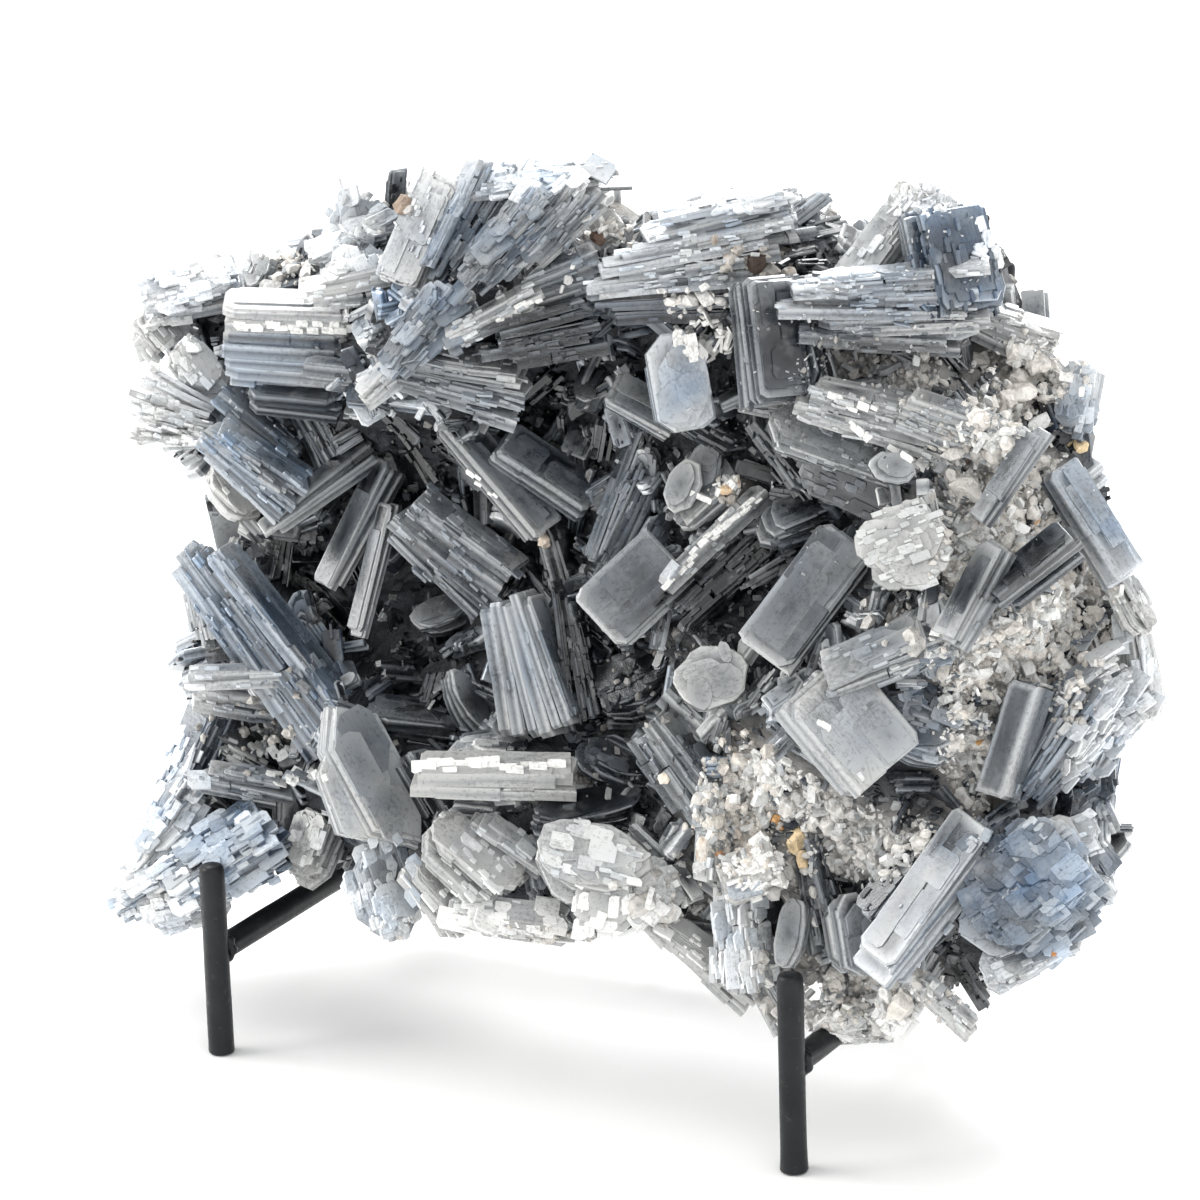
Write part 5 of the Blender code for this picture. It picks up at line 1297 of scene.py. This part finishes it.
# rusty and dark lumps: u, v, radius mm, colour
for u, v, size, colour in ((921, 1027, 3.0, (.030, .014, .011)), (916, 1022, 1.8, (.05, .02, .014)), (776, 820, 1.6, (.72, .40, .16)), (780, 828, 1.1, (.66, .36, .14)),
                           (798, 842, 2.2, (.80, .62, .38)), (802, 860, 1.8, (.74, .56, .34)), (1052, 952, 1.2, (.50, .22, .07)), (1060, 946, .9, (.56, .28, .10)),
                           (756, 262, 2.2, (.075, .048, .036)), (770, 268, 1.6, (.11, .075, .055)), (1078, 446, 2.2, (.92, .72, .44)), (964, 460, 1.1, (.75, .42, .20)),
                           (724, 490, 1.5, (.78, .58, .38)), (980, 742, 1.2, (.70, .38, .14)), (1036, 520, 1.1, (.62, .42, .26)), (598, 238, 1.6, (.16, .10, .07)),
                           (404, 206, 2.0, (.34, .26, .20)), (544, 540, 1.5, (.80, .68, .56)), (664, 778, 1.4, (.85, .76, .64))):
    hit, normal, b = cast(u, v)
    if hit is not None:
        first = len(crumbs.rgb)
        lump(crumbs, hit, normal, size * .001, .7, .5)
        far = np.linalg.norm(crumbs.v[first] - np.array(hit), axis=1) / (size * .001)
        crumbs.rgb[first] = np.clip(np.array(colour) * (.6 + .5 * far)[:, None], .004, 1)

# white specks of druse on the dark blades of the upper right
for _ in range(900):
    u, v = RNG.normal(880, 105), RNG.normal(370, 85)
    if not inside(u, v) or noise.noise(Vector((u / 24, v / 24, 0))) < -.05:
        continue
    hit, normal, b = cast(u, v)
    if hit is not None:
        grain_crystal(druse, hit, normal, RNG.uniform(.0004, .0010), RNG.uniform(.35, .85), .1)

# crumbs on the sides and behind
pick = RNG.choice(len(core_f), 9000, p=area / area.sum())
for f in pick[:3400]:
    a, b, c = (Vector(core_v[k]) for k in core_f[f])
    normal = (b - a).cross(c - a).normalized()
    if normal.dot(BACK) > .2:
        continue
    p = (a + b + c) / 3
    big = noise.noise(p * 120)
    size = float(np.clip(RNG.lognormal(-.5, .5), .25, 2.0)) * .001
    if RNG.random() < .10:
        lump(crumbs, p, normal, size * 1.7, .42 + .3 * big, .45 + .5 * max(0, big))
    elif RNG.random() < .6:
        crumb(crumbs, p, normal, size, matrix_colour(np.array([.40 + .25 * big]), np.array([.4 + .6 * max(0, big)]), RNG.normal(0, .5, (1, 2)))[0])
    else:
        grain_crystal(bits, p, normal, size * 2.2, RNG.uniform(.34, .66), .0)

for region, h in heaps.items():
    heap_piece("blades_" + region, h, crystal if region in BOOKS else dense, front=region not in ("back_books", "fill_round"))
v, f = crumbs.arrays()
add_piece("matrix_crumbs", make_mesh("matrix_crumbs", v, f, np.concatenate(crumbs.rgb)), matrix, "barite_cluster")
heap_piece("druse_grains", druse, dense, front=False)
heap_piece("small_crystals", growths, dense)
heap_piece("matrix_crystals", bits, matrix, front=False)


# ---------------------------------------------------------------- the easel
def rod(name, a, b, replaced, r=ROD_R, foot=False, flare=0.0, seed=0.0, end_a=.0008, end_b=.0008):
    """Round iron rod from a to b with softly rounded ends and a hand-worked, slightly uneven surface."""
    axis = b - a
    length = axis.length
    turn = axis.to_track_quat("Z", "Y").to_matrix()
    sides = 20
    zs = [0, end_a * .15, end_a * .45, end_a]
    n = max(4, int((length - end_a - end_b) / .0021))
    zs += list(end_a + (length - end_a - end_b) * (np.arange(1, n) / n)) + [length - end_b, length - end_b * .45, length - end_b * .15, length]
    verts = []
    for z in zs:
        near = min(z / end_a, 1) if z < end_a else min((length - z) / end_b, 1)
        rr = r * (1 - (1 - math.sqrt(max(0, 1 - (1 - near) ** 2))) * .34)
        if flare:
            rr *= 1 + flare * math.exp(-z / .0022)
        for k in range(sides):
            q = 2 * math.pi * k / sides
            p = Vector((math.cos(q), math.sin(q), 0))
            n1 = noise.noise(Vector((p.x * .8 + seed, p.y * .8, z * 130)))
            n2 = noise.noise(Vector((p.x * 2 + seed, p.y * 2 + 5, z * 420)))
            v = p * rr * (1 + .022 * n1 + .010 * n2) + Vector((0, 0, z))
            verts.append(a + turn @ v)
    faces = []
    for ring in range(len(zs) - 1):
        for k in range(sides):
            j = (k + 1) % sides
            faces.append((ring * sides + k, ring * sides + j, (ring + 1) * sides + j, (ring + 1) * sides + k))
    top = (len(zs) - 1) * sides
    faces.append(tuple(range(sides - 1, -1, -1)))
    faces.append(tuple(range(top, top + sides)))
    if foot:
        for v in verts:
            v.z = max(v.z, 0.0)
    mesh = bpy.data.meshes.new(name)
    mesh.from_pydata(verts, [], faces)
    mesh.shade_smooth()
    mesh.set_sharp_from_angle(angle=math.radians(50))
    return add_piece(name, mesh, iron, replaced)


def weld(name, centre, axis, radius, bead, seed):
    """A run of weld metal round a joint: a lumpy ring."""
    turn = axis.to_track_quat("Z", "Y").to_matrix()
    around, across = 30, 8
    verts, faces = [], []
    for i in range(around):
        a = 2 * math.pi * i / around
        lump = 1 + .22 * math.sin(a * 7 + seed) + .25 * noise.noise(Vector((math.cos(a) * 2 + seed, math.sin(a) * 2, 3)))
        for j in range(across):
            b = 2 * math.pi * j / across
            rr = radius + bead * lump * math.cos(b)
            verts.append(centre + turn @ Vector((math.cos(a) * rr, math.sin(a) * rr, bead * 1.15 * lump * math.sin(b))))
    for i in range(around):
        for j in range(across):
            i2, j2 = (i + 1) % around, (j + 1) % across
            faces.append((i * across + j, i2 * across + j, i2 * across + j2, i * across + j2))
    mesh = bpy.data.meshes.new(name)
    mesh.from_pydata(verts, [], faces)
    mesh.shade_smooth()
    return add_piece(name, mesh, iron)


POST_H, ARM_END_Y, TIP_Y, TIP_Z, BAR_LOW_Z, BAR_HIGH_Z, FOOT_Y, GAP = .0393, .0750, .0900, .1513, .0212, .1370, .1480, .0003
foot_point = {s: Vector((s * POST_X, ARM_END_Y, ARM_Z - ROD_R)) for s in (-1, 1)}
tip = {s: Vector((s * POST_X, TIP_Y, TIP_Z)) for s in (-1, 1)}
rise = (tip[1] - foot_point[1]).normalized()


def on_upright(z):
    return foot_point[1] + rise * ((z - foot_point[1].z) / rise.z)


low, high = on_upright(BAR_LOW_Z), on_upright(BAR_HIGH_Z)
for s, side in ((-1, "left"), (1, "right")):
    rod("rod_post_" + side, Vector((s * POST_X, 0, 0)), Vector((s * POST_X, 0, POST_H)), "front_post_" + side, foot=True,
        flare=.10 if s > 0 else .03, seed=s * 3.1, end_a=.0005, end_b=.0014)
    rod("rod_arm_" + side, Vector((s * POST_X, .0012, ARM_Z)), Vector((s * POST_X, ARM_END_Y - .001, ARM_Z)), "arm_" + side, seed=s * 5.7 + 1)
    rod("rod_upright_" + side, foot_point[s], tip[s], "upright_" + side, seed=s * 7.3 + 2, end_b=.0012)
    weld("weld_front_" + side, Vector((s * POST_X, ROD_R - .0001, ARM_Z)), Vector((0, 1, 0)), .0022, .0009, s * 2.0)
    weld("weld_back_" + side, Vector((s * POST_X, ARM_END_Y - ROD_R - .0001, ARM_Z)), Vector((0, 1, 0)), .0021, .0009, s * 4.0)
    weld("weld_low_" + side, Vector((s * (POST_X - ROD_R), low.y, low.z)), Vector((1, 0, 0)), .0021, .0009, s * 6.0)
    weld("weld_high_" + side, Vector((s * (POST_X - ROD_R), high.y, high.z)), Vector((1, 0, 0)), .0021, .0009, s * 8.0)
inner = POST_X - .0012
rod("rod_bar_lower", Vector((-inner, low.y, low.z)), Vector((inner, low.y, low.z)), "cross_bar_lower", seed=11)
rod("rod_bar_upper", Vector((-inner, high.y, high.z)), Vector((inner, high.y, high.z)), "cross_bar_upper", seed=12)
top = Vector((0, high.y + 2 * ROD_R + GAP * 1.6, BAR_HIGH_Z + .004))
floor_point = Vector((0, FOOT_Y, 0))
slope = (floor_point - top).normalized()
rod("rod_strut", floor_point + slope * .0009, top, "rear_strut", foot=True, seed=13, end_a=.0004)
weld("weld_strut_top", Vector((0, high.y + ROD_R + .0002, BAR_HIGH_Z)), Vector((0, 1, 0)), .0016, .0009, 3.3)
share = (top.z - ARM_Z) / (top.z - floor_point.z)
on_strut = top + (floor_point - top) * share
rod("rod_tie", Vector((0, low.y + .0012, low.z)), Vector((0, on_strut.y - .0015, ARM_Z)), "strut_tie", r=ROD_R * .8, seed=14)
weld("weld_tie_front", Vector((0, low.y + ROD_R, low.z)), Vector((0, 1, 0)), .0018, .0008, 5.1)
weld("weld_tie_back", Vector((0, on_strut.y - ROD_R - .0003, ARM_Z)), Vector((0, 1, 0)), .0018, .0008, 6.2)

# ---------------------------------------------------------------- floor, camera and light
floor_mesh = bpy.data.meshes.new("floor")
bm = bmesh.new()
bmesh.ops.create_grid(bm, x_segments=4, y_segments=4, size=6.0)
bm.to_mesh(floor_mesh)
bm.free()
floor = bpy.data.objects.new("floor", floor_mesh)
floor_mesh.materials.append(floor_material())
bpy.context.scene.collection.objects.link(floor)
floor.location.z = -.0001

camera_data = bpy.data.cameras.new("camera")
camera_data.sensor_width = 36
camera_data.lens = FOCAL / 1200 * 36
camera_data.clip_start, camera_data.clip_end = .05, 30
camera = bpy.data.objects.new("camera", camera_data)
m = Matrix((RIGHT, UP, BACK)).transposed().to_4x4()
m.translation = EYE + SHIFT
camera.matrix_world = m
bpy.context.scene.collection.objects.link(camera)
bpy.context.scene.camera = camera


def softbox(name, place, target, size, power, colour=(1, 1, 1)):
    data = bpy.data.lights.new(name, "AREA")
    data.shape = "RECTANGLE"
    data.size, data.size_y = size
    data.energy = power
    data.color = colour
    o = bpy.data.objects.new(name, data)
    o.location = place
    o.rotation_euler = (Vector(target) - Vector(place)).to_track_quat("-Z", "Y").to_euler()
    bpy.context.scene.collection.objects.link(o)


softbox("light_back_top", (-.25, .75, 1.05), (0, 0, .08), (1.1, .7), 22, (1, 1, 1))
softbox("light_left", (-1.0, -.55, .75), (0, 0, .09), (.8, .8), 11, (1, .99, .97))
softbox("light_front_right", (1.1, -1.1, .9), (0, 0, .08), (.9, .9), 4, (.97, .985, 1))

world = bpy.data.worlds.new("studio")
world.use_nodes = True
world.node_tree.nodes["Background"].inputs["Color"].default_value = (1, 1, 1, 1)
world.node_tree.nodes["Background"].inputs["Strength"].default_value = 1.1
bpy.context.scene.world = world
bpy.context.scene.view_settings.view_transform = "Standard"
bpy.context.scene.view_settings.look = "None"
paths = bpy.context.scene.cycles
paths.max_bounces, paths.diffuse_bounces, paths.glossy_bounces, paths.transmission_bounces = 4, 2, 1, 3
paths.caustics_reflective = paths.caustics_refractive = False
